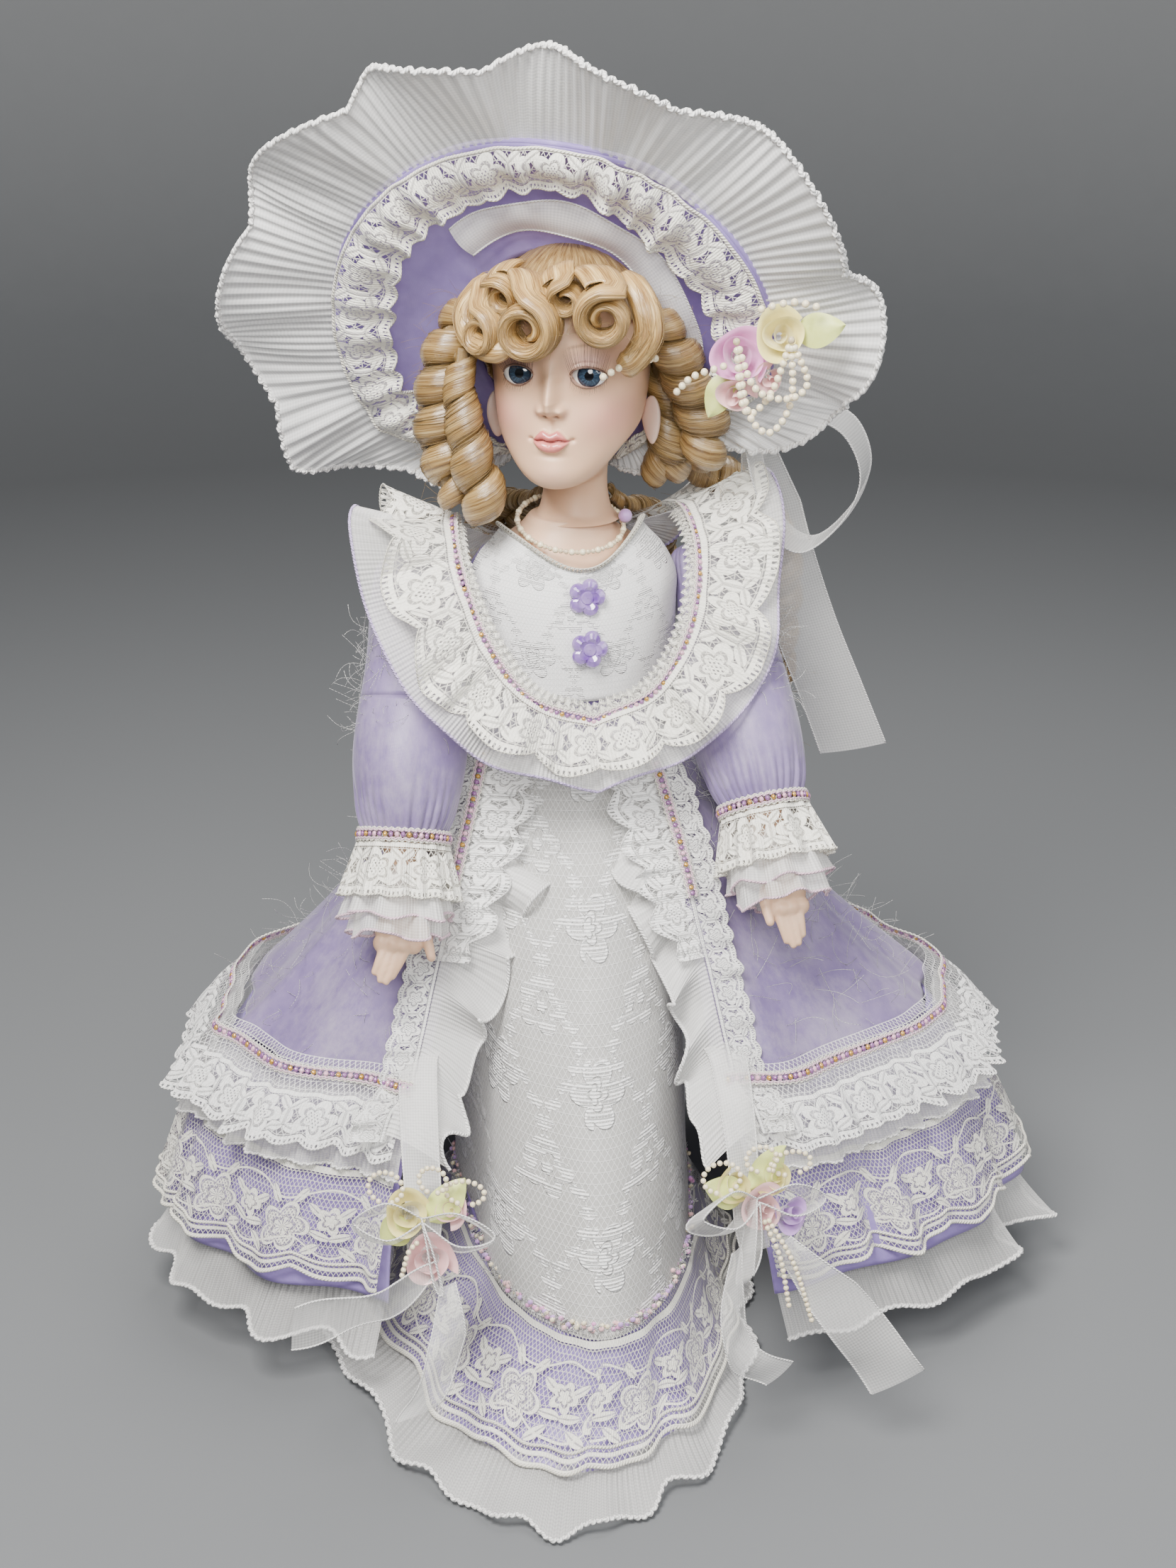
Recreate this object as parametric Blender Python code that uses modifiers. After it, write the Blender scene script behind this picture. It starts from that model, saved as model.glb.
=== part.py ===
"""A 40 cm collector's doll: porcelain head, shoulder plate, arms and legs on a stuffed cloth body, in a
layered dress and a wide ruffled hat, held upright by a display stand hidden under its skirts.

The chest faces -Y and the doll's own left is +X, with the head turned to its right and the skirts sitting a
little turned on the waist. The origin is the middle of the stand base's underside. Lengths are in metres."""

import math

import bmesh
import bpy
from mathutils import Vector

# ---- driving dimensions --------------------------------------------------------------------------------
GAP = 0.0005                    # clearance between neighbouring pieces
CLOTH = 0.0014                  # thickness that stands for a layer of dress fabric with its lining
HEAD_TURN = math.radians(-24)   # the head looks towards the doll's right
SKIRT_TURN = math.radians(-6)

BASE_RADIUS, BASE_THICK = 0.046, 0.0028
POLE_Y = 0.030
TUBE_TOP, ROD_TOP = 0.125, 0.1975
TUBE_OUTER, TUBE_WALL, ROD_RADIUS = 0.0036, 0.0010, 0.0022
CLIP_Z, CLIP_WIRE = 0.2, 0.0012

HIP_Z, HIP_X, THIGH_RADIUS = 0.172, 0.0145, 0.0120
KNEE_Z, ANKLE_Z, SOLE_Z = 0.108, 0.020, 0.0046

WAIST_Z = 0.222
SHOULDER = Vector((0.0525, 0.0, 0.276))
HAND_TIPS = {1: Vector((0.064, -0.073, 0.163)), -1: Vector((-0.072, -0.057, 0.153))}
ELBOW_AT, WRIST_AT = 0.055, 0.105      # distances down the arm from the shoulder

NECK_SEAT_Z, BOLT_HOLE, BISQUE = 0.3035, 0.0030, 0.0022
EYE_Z, SKULL_Z = 0.356, 0.358
SKULL = Vector((0.0268, 0.0325, 0.034))
SKULL_Y = -0.005
CROWN_CUT_Z = 0.379                    # the head is open above this, under the pate
EYE_RADIUS, EYE_X, EYE_Y = 0.0072, 0.0110, -0.0290

HAT_TILT = math.radians(66)            # of the brim's plane from the horizontal
HAT_CENTRE = Vector((-0.004, 0.006, 0.362))
HAT_IN_X, HAT_IN_U = 0.0345, 0.0400    # the brim's opening
BRIM_RADIUS, RUFFLE_RADIUS = 0.0785, 0.114
HAT_ROLL = math.radians(9)             # the brim dips lower over the doll's right shoulder

RIGHT, UP = Vector((1, 0, 0)), Vector((0, 0, 1))


# ---- making things -------------------------------------------------------------------------------------
def clear_scene():
    for obj in list(bpy.data.objects):
        bpy.data.objects.remove(obj)
    for name in ("porcelain_doll", "cutters"):
        collection = bpy.data.collections.new(name)
        bpy.context.scene.collection.children.link(collection)


def material(name, colour, roughness, metallic=0.0):
    made = bpy.data.materials.get(name)
    if made is None:
        made = bpy.data.materials.new(name)
        made.use_nodes = True
        shader = made.node_tree.nodes["Principled BSDF"]
        shader.inputs["Base Color"].default_value = (*colour, 1)
        shader.inputs["Roughness"].default_value = roughness
        shader.inputs["Metallic"].default_value = metallic
    return made


def looks():
    return {
        "porcelain": material("bisque_porcelain", (0.86, 0.66, 0.56), 0.38),
        "glass": material("blue_glass", (0.10, 0.16, 0.28), 0.08),
        "cotton": material("white_cotton", (0.86, 0.84, 0.80), 0.85),
        "satin": material("lavender_satin", (0.55, 0.47, 0.74), 0.42),
        "lace": material("cream_lace", (0.90, 0.88, 0.80), 0.75),
        "organza": material("white_organza", (0.88, 0.86, 0.86), 0.50),
        "hair": material("blonde_hair", (0.68, 0.50, 0.26), 0.42),
        "card": material("pate_card", (0.78, 0.72, 0.60), 0.90),
        "steel": material("white_steel", (0.88, 0.88, 0.87), 0.30, 0.2),
        "shoe": material("white_vinyl", (0.90, 0.89, 0.87), 0.35),
        "pearl": material("cream_pearl", (0.92, 0.88, 0.74), 0.22),
        "acrylic": material("lilac_acrylic", (0.62, 0.48, 0.82), 0.08),
        "pink": material("pink_satin", (0.88, 0.55, 0.78), 0.40),
        "yellow": material("yellow_satin", (0.92, 0.88, 0.55), 0.40),
    }


def place(name, data, look, parent=None):
    """A new object holding data, in the doll's collection, shaded smooth, under parent."""
    obj = bpy.data.objects.new(name, data)
    obj.data.materials.append(look)
    bpy.data.collections["porcelain_doll"].objects.link(obj)
    if obj.type == "MESH":
        obj.data.shade_smooth()
    obj.parent = parent
    return obj


def upright_axis(name, turn):
    """An empty on the doll's upright axis, turned about it."""
    axis = bpy.data.objects.new(name, None)
    bpy.data.collections["porcelain_doll"].objects.link(axis)
    axis.rotation_euler = (0, 0, turn)
    return axis


def helper(obj):
    """Makes obj a cutter, which isn't part of the doll."""
    for collection in obj.users_collection:
        collection.objects.unlink(obj)
    bpy.data.collections["cutters"].objects.link(obj)
    obj.hide_render = True
    obj.display_type = "WIRE"
    return obj


def from_bmesh(name, bm, look, parent=None):
    bmesh.ops.recalc_face_normals(bm, faces=bm.faces)
    mesh = bpy.data.meshes.new(name)
    bm.to_mesh(mesh)
    bm.free()
    return place(name, mesh, look, parent)


def thicken(obj, thickness, offset=-1.0):
    """A sheet's thickness: offset -1 grows it inwards from its surface, and 1 outwards."""
    solid = obj.modifiers.new("thickness", "SOLIDIFY")
    solid.thickness = thickness
    solid.offset = offset
    return obj


def cut(obj, cutter):
    boolean = obj.modifiers.new("cut", "BOOLEAN")
    boolean.operation = "DIFFERENCE"
    boolean.object = cutter
    return obj


def grid(bm, rows, closed):
    """Faces through rows of points. closed joins each row's last point to its first."""
    verts = [[bm.verts.new(p) for p in row] for row in rows]
    for low, high in zip(verts, verts[1:]):
        count = len(low)
        for i in range(count if closed else count - 1):
            j = (i + 1) % count
            bm.faces.new((low[i], low[j], high[j], high[i]))
    return verts


def shell(name, rows, thickness, look, parent=None, closed=True):
    """A sheet lofted through rows of points, given a thickness inwards."""
    bm = bmesh.new()
    grid(bm, rows, closed)
    obj = from_bmesh(name, bm, look, parent)
    return thicken(obj, thickness)


def solid(name, rows, look, parent=None):
    """A closed body lofted through rings of points, with a domed cap on both ends."""
    bm = bmesh.new()
    verts = grid(bm, rows, True)
    for ring in (verts[0], verts[-1]):
        middle = bm.verts.new(sum((v.co for v in ring), Vector()) / len(ring))
        for i, v in enumerate(ring):
            bm.faces.new((v, ring[(i + 1) % len(ring)], middle))
    return from_bmesh(name, bm, look, parent)


def oval(centre, half_x, front, back, count, start=0.0, stop=None):
    """Points of a level ring, from the front (-Y) round by +X. front and back are its depths in front and behind."""
    whole = stop is None
    stop = 2 * math.pi if whole else stop
    steps = count if whole else count - 1
    points = []
    for i in range(count):
        angle = start + (stop - start) * i / steps
        depth = front if math.cos(angle) > 0 else back
        points.append(centre + Vector((half_x * math.sin(angle), -depth * math.cos(angle), 0)))
    return points


def smooth(points, per_span):
    """A Catmull-Rom line through points."""
    points = [Vector(p) for p in points]
    ends = [2 * points[0] - points[1], *points, 2 * points[-1] - points[-2]]
    line = []
    for a, b, c, d in zip(ends, ends[1:], ends[2:], ends[3:]):
        for i in range(per_span):
            t = i / per_span
            line.append(0.5 * (2 * b + (c - a) * t + (2 * a - 5 * b + 4 * c - d) * t**2
                               + (3 * b - 3 * c + d - a) * t**3))
    return [*line, points[-1]]


def tube(name, points, radii, look, parent=None, per_span=3, fineness=1):
    """A round bar through points, whose radius changes evenly from one of radii to the next."""
    line = smooth(points, per_span)
    sizes = [s.x for s in smooth([(r, 0, 0) for r in radii], per_span)]
    curve = bpy.data.curves.new(name, "CURVE")
    curve.dimensions = "3D"
    curve.bevel_depth = 1.0
    curve.bevel_resolution = fineness
    curve.use_fill_caps = True
    spline = curve.splines.new("POLY")
    spline.points.add(len(line) - 1)
    for point, at, size in zip(spline.points, line, sizes):
        point.co = (*at, 1)
        point.radius = size
    return place(name, curve, look, parent)


def ball(name, centre, radii, look, parent=None, segments=16, rings=10):
    bm = bmesh.new()
    bmesh.ops.create_uvsphere(bm, u_segments=segments, v_segments=rings, radius=1)
    bmesh.ops.scale(bm, vec=Vector(radii), verts=bm.verts)
    obj = from_bmesh(name, bm, look, parent)
    obj.location = centre
    return obj


def disc(name, centre, radius, height, look, parent=None, segments=24, rim=0.0):
    bm = bmesh.new()
    bmesh.ops.create_cone(bm, cap_ends=True, segments=segments, radius1=radius, radius2=radius, depth=height)
    obj = from_bmesh(name, bm, look, parent)
    obj.location = centre
    if rim:
        bevel = obj.modifiers.new("rim", "BEVEL")
        bevel.width = rim
        bevel.segments = 2
        bevel.limit_method = "ANGLE"
    return obj


def turned(name, profile, centre, look, parent=None, steps=16):
    """A turned body: profile is (radius, height) from the top axis point to the bottom one."""
    bm = bmesh.new()
    verts = [bm.verts.new((radius, 0, height)) for radius, height in profile]
    for a, b in zip(verts, verts[1:]):
        bm.edges.new((a, b))
    obj = from_bmesh(name, bm, look, parent)
    obj.location = centre
    screw = obj.modifiers.new("turn", "SCREW")
    screw.steps = screw.render_steps = steps
    screw.use_merge_vertices = True
    screw.merge_threshold = 0.00001
    return obj


# ---- the display stand ---------------------------------------------------------------------------------
def stand(look):
    disc("stand_base", (0, 0, BASE_THICK / 2), BASE_RADIUS, BASE_THICK, look["steel"], segments=32,
         rim=0.0007)
    bm = bmesh.new()
    low, high = BASE_THICK + GAP, TUBE_TOP
    bmesh.ops.create_cone(bm, cap_ends=False, segments=20, radius1=TUBE_OUTER, radius2=TUBE_OUTER,
                          depth=high - low)
    tube_obj = thicken(from_bmesh("stand_tube", bm, look["steel"]), TUBE_WALL)
    tube_obj.location = (0, POLE_Y, (low + high) / 2)
    stop = TUBE_TOP + GAP
    turned("stand_rod",
           [(0, ROD_TOP), (ROD_RADIUS, ROD_TOP), (ROD_RADIUS, stop + 0.004), (0.0034, stop + 0.0032),
            (0.0034, stop), (ROD_RADIUS, stop), (ROD_RADIUS, BASE_THICK + 0.003), (0, BASE_THICK + 0.003)],
           (0, POLE_Y, 0), look["steel"], steps=20)
    opening = math.radians(38)
    ring = [Vector((0.0325 * math.sin(a), 0.001 - 0.0268 * math.cos(a), CLIP_Z))
            for a in (opening + (2 * math.pi - 2 * opening) * i / 14 for i in range(15))]
    tube("stand_clip", ring, [CLIP_WIRE] * len(ring), look["steel"], per_span=2)


# ---- the cloth body and its porcelain limbs ------------------------------------------------------------
def body(look):
    torso = [(0.1865, 0.0250, 0.0170), (0.1900, 0.0285, 0.0200), (0.2000, 0.0290, 0.0210),
             (0.2150, 0.0285, 0.0210), (0.2350, 0.0300, 0.0222), (0.2550, 0.0302, 0.0218),
             (0.2700, 0.0290, 0.0190), (0.2800, 0.0240, 0.0150)]
    solid("torso", [oval(Vector((0, 0, z)), x, y, y, 20) for z, x, y in torso], look["cotton"])
    top = NECK_SEAT_Z - 0.001
    plate = [(0.2600, 0.0335, 0.0262), (0.2700, 0.0345, 0.0256), (0.2800, 0.0338, 0.0238),
             (0.2880, 0.0305, 0.0205), (0.2940, 0.0225, 0.0170), (0.2990, 0.0160, 0.0145),
             (top - 0.0004, 0.0136, 0.0136), (top, 0.0128, 0.0128), (top, 0.0085, 0.0085),
             (top, BOLT_HOLE, BOLT_HOLE)]
    rows = [oval(Vector((0, 0, z)), x, y, y, 20) for z, x, y in plate]
    shell("shoulder_plate", rows, BISQUE, look["porcelain"])
    seat = NECK_SEAT_Z + BISQUE + GAP
    foot = top - BISQUE - GAP
    turned("neck_bolt", [(0, seat + 0.0030), (0.0060, seat + 0.0025), (0.0060, seat), (0.0020, seat),
                         (0.0020, foot - 0.0080), (0, foot - 0.0080)], (0, 0, 0), look["steel"], steps=16)
    bm = bmesh.new()
    bmesh.ops.create_cone(bm, cap_ends=False, segments=20, radius1=0.0080, radius2=0.0080, depth=0.0012)
    washer = thicken(from_bmesh("neck_washer", bm, look["steel"]), 0.0054)
    washer.location = (0, 0, foot - 0.0006)


def leg(side, look):
    """One leg, on the doll's left where side is 1 and on its right where it is -1."""
    name = "left" if side > 0 else "right"
    x = side * HIP_X
    thigh = [(0, HIP_Z + 0.0115), (0.0060, HIP_Z + 0.0100), (0.0104, HIP_Z + 0.0055), (THIGH_RADIUS, HIP_Z),
             (0.0116, 0.1500), (0.0098, KNEE_Z + 0.0120), (0.0090, KNEE_Z + GAP), (0, KNEE_Z + GAP)]
    turned(f"{name}_thigh", thigh, (x, 0, 0), look["cotton"], steps=14)
    shin = [(0, KNEE_Z), (0.0088, KNEE_Z), (0.0086, 0.0900), (0.0092, 0.0740), (0.0070, 0.0460),
            (0.0052, 0.0260), (0.0052, ANKLE_Z - 0.008), (0, ANKLE_Z - 0.008)]
    turned(f"{name}_shin", shin, (x, 0, 0), look["porcelain"], steps=14)
    sections = [(0.0100, 0.0035, 0.0060), (0.0085, 0.0056, 0.0120), (0.0, 0.0066, 0.0150),
                (-0.0090, 0.0068, 0.0118), (-0.0180, 0.0074, 0.0085), (-0.0250, 0.0058, 0.0070),
                (-0.0285, 0.0030, 0.0045)]
    rows = []
    for y, half, height in sections:
        ring = []
        for i in range(12):
            angle = 2 * math.pi * i / 12
            up = (1 + math.sin(angle)) / 2
            ring.append(Vector((x + half * math.cos(angle), y, SOLE_Z + height * up)))
        rows.append(ring)
    shoe = solid(f"{name}_shoe", rows, look["shoe"])
    hole = helper(disc(f"{name}_ankle_hole", (x, 0, ANKLE_Z - 0.008 - GAP + 0.010), 0.0052 + GAP, 0.020,
                       look["shoe"], segments=14))
    cut(shoe, hole)


def arm_frame(side):
    """The arm's shoulder, its direction down the arm, and two directions across it: outwards and forwards."""
    shoulder = Vector((side * SHOULDER.x, SHOULDER.y, SHOULDER.z))
    down = (HAND_TIPS[side] - shoulder).normalized()
    across = Vector((side, 0, 0))
    across = (across - across.dot(down) * down).normalized()
    return shoulder, down, across, across.cross(down) * side


def arm_rings(side, sections, count):
    """Rings round the arm, from (distance down the arm, half width, half depth)."""
    shoulder, down, across, forward = arm_frame(side)
    rows = []
    for at, width, depth in sections:
        centre = shoulder + down * at
        rows.append([centre + across * width * math.cos(a) + forward * depth * math.sin(a)
                     for a in (2 * math.pi * i / count for i in range(count))])
    return rows


def arm(side, look):
    name = "left" if side > 0 else "right"
    # Both ends taper at the elbow, so that it bends by 50 degrees before they meet.
    upper = [(-0.0085, 0.0050, 0.0050), (-0.0060, 0.0085, 0.0085), (0.0, 0.0102, 0.0102),
             (0.0200, 0.0098, 0.0098), (0.0400, 0.0090, 0.0090), (ELBOW_AT - 0.0052, 0.0075, 0.0075),
             (ELBOW_AT - 0.0030, 0.0042, 0.0042), (ELBOW_AT - 0.0012, 0.0012, 0.0012)]
    solid(f"{name}_upper_arm", arm_rings(side, upper, 14), look["cotton"])
    lower = [(ELBOW_AT + 0.0008, 0.0012, 0.0012), (ELBOW_AT + 0.0026, 0.0042, 0.0042),
             (ELBOW_AT + 0.0046, 0.0078, 0.0078), (0.0700, 0.0084, 0.0080),
             (0.0880, 0.0070, 0.0064), (WRIST_AT, 0.0060, 0.0050), (0.1120, 0.0082, 0.0048),
             (0.1200, 0.0088, 0.0046), (0.1290, 0.0072, 0.0040), (0.1360, 0.0032, 0.0026)]
    solid(f"{name}_forearm", arm_rings(side, lower, 14), look["porcelain"])
    sleeve = [(-0.0125, 0.0080, 0.0080), (-0.0095, 0.0135, 0.0135), (0.0, 0.0150, 0.0155),
              (0.0200, 0.0158, 0.0165), (0.0420, 0.0172, 0.0178), (0.0600, 0.0178, 0.0180),
              (0.0740, 0.0160, 0.0160), (0.0820, 0.0130, 0.0130)]
    shell(f"{name}_sleeve", arm_rings(side, sleeve, 16), CLOTH, look["satin"])
    cuff = [(0.0825, 0.0135, 0.0135), (0.0900, 0.0150, 0.0150), (0.1000, 0.0175, 0.0170),
            (0.1120, 0.0165, 0.0160)]
    shell(f"{name}_cuff", arm_rings(side, cuff, 16), CLOTH, look["lace"])


# ---- the head ------------------------------------------------------------------------------------------
def skull_scale(z, height):
    return math.sqrt(max(0.0, 1 - ((z - SKULL_Z) / height) ** 2))


def head(look, axis):
    neck = [(NECK_SEAT_Z, BOLT_HOLE, 0, BOLT_HOLE), (NECK_SEAT_Z, 0.0085, 0, 0.0085),
            (NECK_SEAT_Z, 0.0122, 0, 0.0122), (NECK_SEAT_Z + 0.0005, 0.0128, 0, 0.0128),
            (0.3080, 0.0118, 0, 0.0118), (0.3150, 0.0120, 0, 0.0120)]
    jaw = [(0.3195, 0.0160, -0.010, 0.0235), (0.3240, 0.0205, -0.0100, 0.0262),
           (0.3320, 0.0238, -0.0090, 0.0285), (0.3420, 0.0258, -0.0070, 0.0305)]
    rows = [oval(Vector((0, y, z)), half, depth, depth, 20) for z, half, y, depth in (*neck, *jaw)]
    for z in (0.3520, 0.3600, 0.3680, 0.3740, CROWN_CUT_Z - 0.001):
        scale = skull_scale(z, SKULL.z)
        rows.append(oval(Vector((0, SKULL_Y, z)), SKULL.x * scale, SKULL.y * scale, SKULL.y * scale, 20))
    bisque = shell("head", rows, BISQUE, look["porcelain"], axis)
    for side, name in ((-1, "right"), (1, "left")):
        centre = (side * EYE_X, EYE_Y, EYE_Z)
        ball(f"{name}_eye", centre, (EYE_RADIUS,) * 3, look["glass"], axis, 14, 10)
        room = EYE_RADIUS + GAP
        cut(bisque, helper(ball(f"{name}_eye_socket", centre, (room,) * 3, look["glass"], axis, 14, 10)))
    bm = bmesh.new()
    bmesh.ops.create_uvsphere(bm, u_segments=20, v_segments=14, radius=1)
    bmesh.ops.scale(bm, vec=Vector((0.0258, 0.0312, 0.0328)), verts=bm.verts)
    split(bm, Vector((0, 0, CROWN_CUT_Z - SKULL_Z)), UP, True)
    pate = from_bmesh("pate", bm, look["card"], axis)
    pate.location = (0, SKULL_Y, SKULL_Z)


def split(bm, point, keep, fill):
    """Keeps the side of the plane through point that keep points to, and fills the cut if fill is set."""
    whole = [*bm.verts, *bm.edges, *bm.faces]
    done = bmesh.ops.bisect_plane(bm, geom=whole, plane_co=point, plane_no=keep, clear_inner=True)
    if fill:
        edges = [e for e in done["geom_cut"] if isinstance(e, bmesh.types.BMEdge)]
        bmesh.ops.contextual_create(bm, geom=edges)


def wig(look, axis):
    bm = bmesh.new()
    bmesh.ops.create_uvsphere(bm, u_segments=20, v_segments=14, radius=1)
    bmesh.ops.scale(bm, vec=SKULL + Vector((0.0028, 0.0028, 0.0030)), verts=bm.verts)
    hairline, nape = Vector((0, -0.026, 0.019)), Vector((0, 0.034, -0.026))
    keep = RIGHT.cross(nape - hairline).normalized()
    split(bm, hairline, keep if keep.z > 0 else -keep, False)
    cap = thicken(from_bmesh("wig_cap", bm, look["hair"], axis), 0.0013)
    cap.location = (0, SKULL_Y, SKULL_Z)
    tube("fringe_curls", [(-0.0290, -0.0260, 0.3690), (-0.0180, -0.0420, 0.3715), (0, -0.0480, 0.3730),
                          (0.0180, -0.0420, 0.3715), (0.0290, -0.0260, 0.3690)],
         [0.0060, 0.0080, 0.0085, 0.0080, 0.0060], look["hair"], axis)
    for side, name in ((-1, "right"), (1, "left")):
        falls = [(0.0385, -0.0115, 0.3600), (0.0420, -0.0130, 0.3440), (0.0430, -0.0130, 0.3270),
                 (0.0405, -0.0125, 0.3130)]
        tube(f"{name}_side_curls", [(side * x, y, z) for x, y, z in falls], [0.0065, 0.0105, 0.0110, 0.0080],
             look["hair"], axis)
    # The mass at the nape leaves the head under the hat's brim and falls behind the collar.
    nape_line = [(0.000, 0.0190, 0.3080, 0.010, 0.0018), (-0.001, 0.0208, 0.3035, 0.012, 0.0022),
                 (-0.003, 0.0270, 0.2990, 0.018, 0.0030), (-0.008, 0.0380, 0.2955, 0.024, 0.0044),
                 (-0.014, 0.0500, 0.2870, 0.030, 0.0075), (-0.018, 0.0550, 0.2680, 0.034, 0.0090),
                 (-0.018, 0.0540, 0.2480, 0.030, 0.0070)]
    rows = [(Vector((x, y, z)), half, depth) for x, y, z, half, depth in nape_line]
    rings = []
    for i, (at, half, depth) in enumerate(rows):
        along = (rows[min(i + 1, len(rows) - 1)][0] - rows[max(i - 1, 0)][0]).normalized()
        out = RIGHT.cross(along)
        rings.append([at + RIGHT * half * math.cos(a) + out * depth * math.sin(a)
                      for a in (2 * math.pi * i / 16 for i in range(16))])
    solid("nape_curls", rings, look["hair"], axis)
    tube("long_ringlet", [(0.0110, 0.0500, 0.3060), (0.0385, 0.0620, 0.2980), (0.0610, 0.0620, 0.2760),
                          (0.0735, 0.0620, 0.2450), (0.0745, 0.0620, 0.2180)],
         [0.0035, 0.0080, 0.0088, 0.0080, 0.0045], look["hair"], axis)


# ---- the hat -------------------------------------------------------------------------------------------
HAT_BACK = Vector((0, math.sin(HAT_TILT), math.cos(HAT_TILT)))    # out of the crown
HAT_UP = Vector((0, -math.cos(HAT_TILT), math.sin(HAT_TILT)))     # in the brim's plane, over the forehead


def hat_point(angle, radius_x, radius_u, back):
    """A point of the hat: angle runs round the brim from over the forehead towards +X."""
    return (HAT_CENTRE + RIGHT * radius_x * math.sin(angle) + HAT_UP * radius_u * math.cos(angle)
            + HAT_BACK * back)


def hat_ring(reach, back, count, wave=0.0, folds=0):
    """A ring on the brim: reach is 0 at the opening, 1 at the brim's edge and 2 at the ruffle's. The brim and
    the ruffle are narrow at the nape."""
    points = []
    for i in range(count):
        angle = 2 * math.pi * i / count
        up = 0.5 + 0.5 * math.cos(angle)
        rolled = 0.5 + 0.5 * math.cos(angle + HAT_ROLL)
        wide = 0.25 + 0.75 * min(1.0, max(0.0, (rolled - 0.076) / 0.26))
        out = min(reach, 1.0) * (BRIM_RADIUS - HAT_IN_U)
        out += max(reach - 1, 0) * (RUFFLE_RADIUS - BRIM_RADIUS)
        out *= wide
        sway = wave * math.sin(folds * angle)
        points.append(hat_point(angle, HAT_IN_X + out * 1.06, HAT_IN_U + out, back - 0.010 * reach * up + sway))
    return points


def hat(look, axis):
    crown = [(0.000, 1.00), (0.014, 1.06), (0.027, 0.97), (0.036, 0.66), (0.0395, 0.24)]
    rows = [[hat_point(2 * math.pi * i / 24, (HAT_IN_X + 0.0005) * size, (HAT_IN_U + 0.0005) * size, back)
             for i in range(24)] for back, size in crown]
    bm = bmesh.new()
    verts = grid(bm, rows, True)
    middle = bm.verts.new(HAT_CENTRE + HAT_BACK * 0.0400)
    for i, v in enumerate(verts[-1]):
        bm.faces.new((v, verts[-1][(i + 1) % 24], middle))
    thicken(from_bmesh("hat_crown", bm, look["satin"], axis), CLOTH)

    def layer(name, reaches, back, count, what, wave=0.0, folds=0):
        shell(name, [hat_ring(r, back, count, wave * max(0.0, r - 1), folds) for r in reaches], CLOTH,
              look[what], axis)

    layer("hat_brim", (0.04, 0.5, 1.0), -0.0030, 30, "satin")
    layer("hat_lace", (0.52, 0.98), -0.0066, 30, "lace")
    layer("hat_ruffle", (1.12, 1.5, 2.0), -0.0035, 48, "organza", 0.0035, 12)
    band = [hat_point(a, 0.0415, 0.0470, -0.0085) for a in (math.radians(-35 + 14 * i) for i in range(10))]
    tube("hat_band", band, [0.0012] * 10, look["organza"], axis, per_span=2)
    ball("pink_rose", hat_point(math.radians(84), 0.060, 0.060, -0.0240), (0.0085, 0.0085, 0.0085),
         look["pink"], axis, 12, 8)
    ball("yellow_rose", hat_point(math.radians(72), 0.076, 0.070, -0.0245), (0.0085, 0.0085, 0.0085),
         look["yellow"], axis, 12, 8)
    # The bow's loops and tails stand out behind the doll's left shoulder.
    loop = smooth([(0.060, 0.062, 0.322), (0.080, 0.062, 0.336), (0.104, 0.056, 0.330),
                   (0.112, 0.052, 0.312), (0.100, 0.054, 0.298), (0.078, 0.062, 0.303)], 3)
    ribbon("hat_bow", loop, Vector((0.1, 1, 0.05)), 0.0080, look["organza"], axis)
    tail = smooth([(0.062, 0.080, 0.318), (0.080, 0.084, 0.290), (0.090, 0.086, 0.250),
                   (0.100, 0.086, 0.198)], 4)
    ribbon("hat_ribbon_tail", tail, Vector((1, 0.15, 0.25)), 0.0125, look["organza"], axis)


def ribbon(name, line, across, half, look, parent=None, thick=0.0010):
    """A flat band along line, twice half in width, lying along the direction across."""
    across = across.normalized()
    rows = [[p - across * half, p, p + across * half] for p in line]
    return shell(name, rows, thick, look, parent, closed=False)


# ---- the dress -----------------------------------------------------------------------------------------
def bodice(look):
    waist = [(0.2035, 0.0348, 0.0300), (0.2220, 0.0338, 0.0285), (0.2400, 0.0340, 0.0290),
             (0.2560, 0.0342, 0.0292)]
    shell("bodice", [oval(Vector((0, 0, z)), x, y, y, 20) for z, x, y in waist], CLOTH, look["satin"])
    # The white lace front lies on the bodice and on the shoulder plate above it, up to the neckline.
    yoke = [(0.2450, 0.0358, 0.0330), (0.2600, 0.0362, 0.0328), (0.2720, 0.0362, 0.0308),
            (0.2820, 0.0358, 0.0276), (0.2890, 0.0325, 0.0246)]
    side = math.radians(72)
    rows = [oval(Vector((0, 0, z)), x, y, y, 14, -side, side) for z, x, y in yoke]
    shell("yoke_front", rows, CLOTH, look["lace"], closed=False)
    for name, z, y in (("upper_button", 0.2810, -0.0306), ("lower_button", 0.2640, -0.0345)):
        flower = disc(name, (0, y, z), 0.0055, 0.0020, look["acrylic"], segments=15)
        flower.rotation_euler = (math.radians(84), 0, 0)
    beads = [Vector((0.0180 * math.sin(a), -0.0060 - 0.0205 * math.cos(a), 0.2998 - 0.0040 * math.cos(a)))
             for a in (2 * math.pi * i / 24 for i in range(24))]
    ring_tube("necklace", beads, 0.0014, look["pearl"])


def ring_tube(name, points, radius, look, parent=None):
    """A closed wire ring through points."""
    curve = bpy.data.curves.new(name, "CURVE")
    curve.dimensions = "3D"
    curve.bevel_depth = radius
    curve.bevel_resolution = 1
    spline = curve.splines.new("POLY")
    spline.points.add(len(points) - 1)
    for point, at in zip(spline.points, points):
        point.co = (*at, 1)
    spline.use_cyclic_u = True
    return place(name, curve, look, parent)


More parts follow.
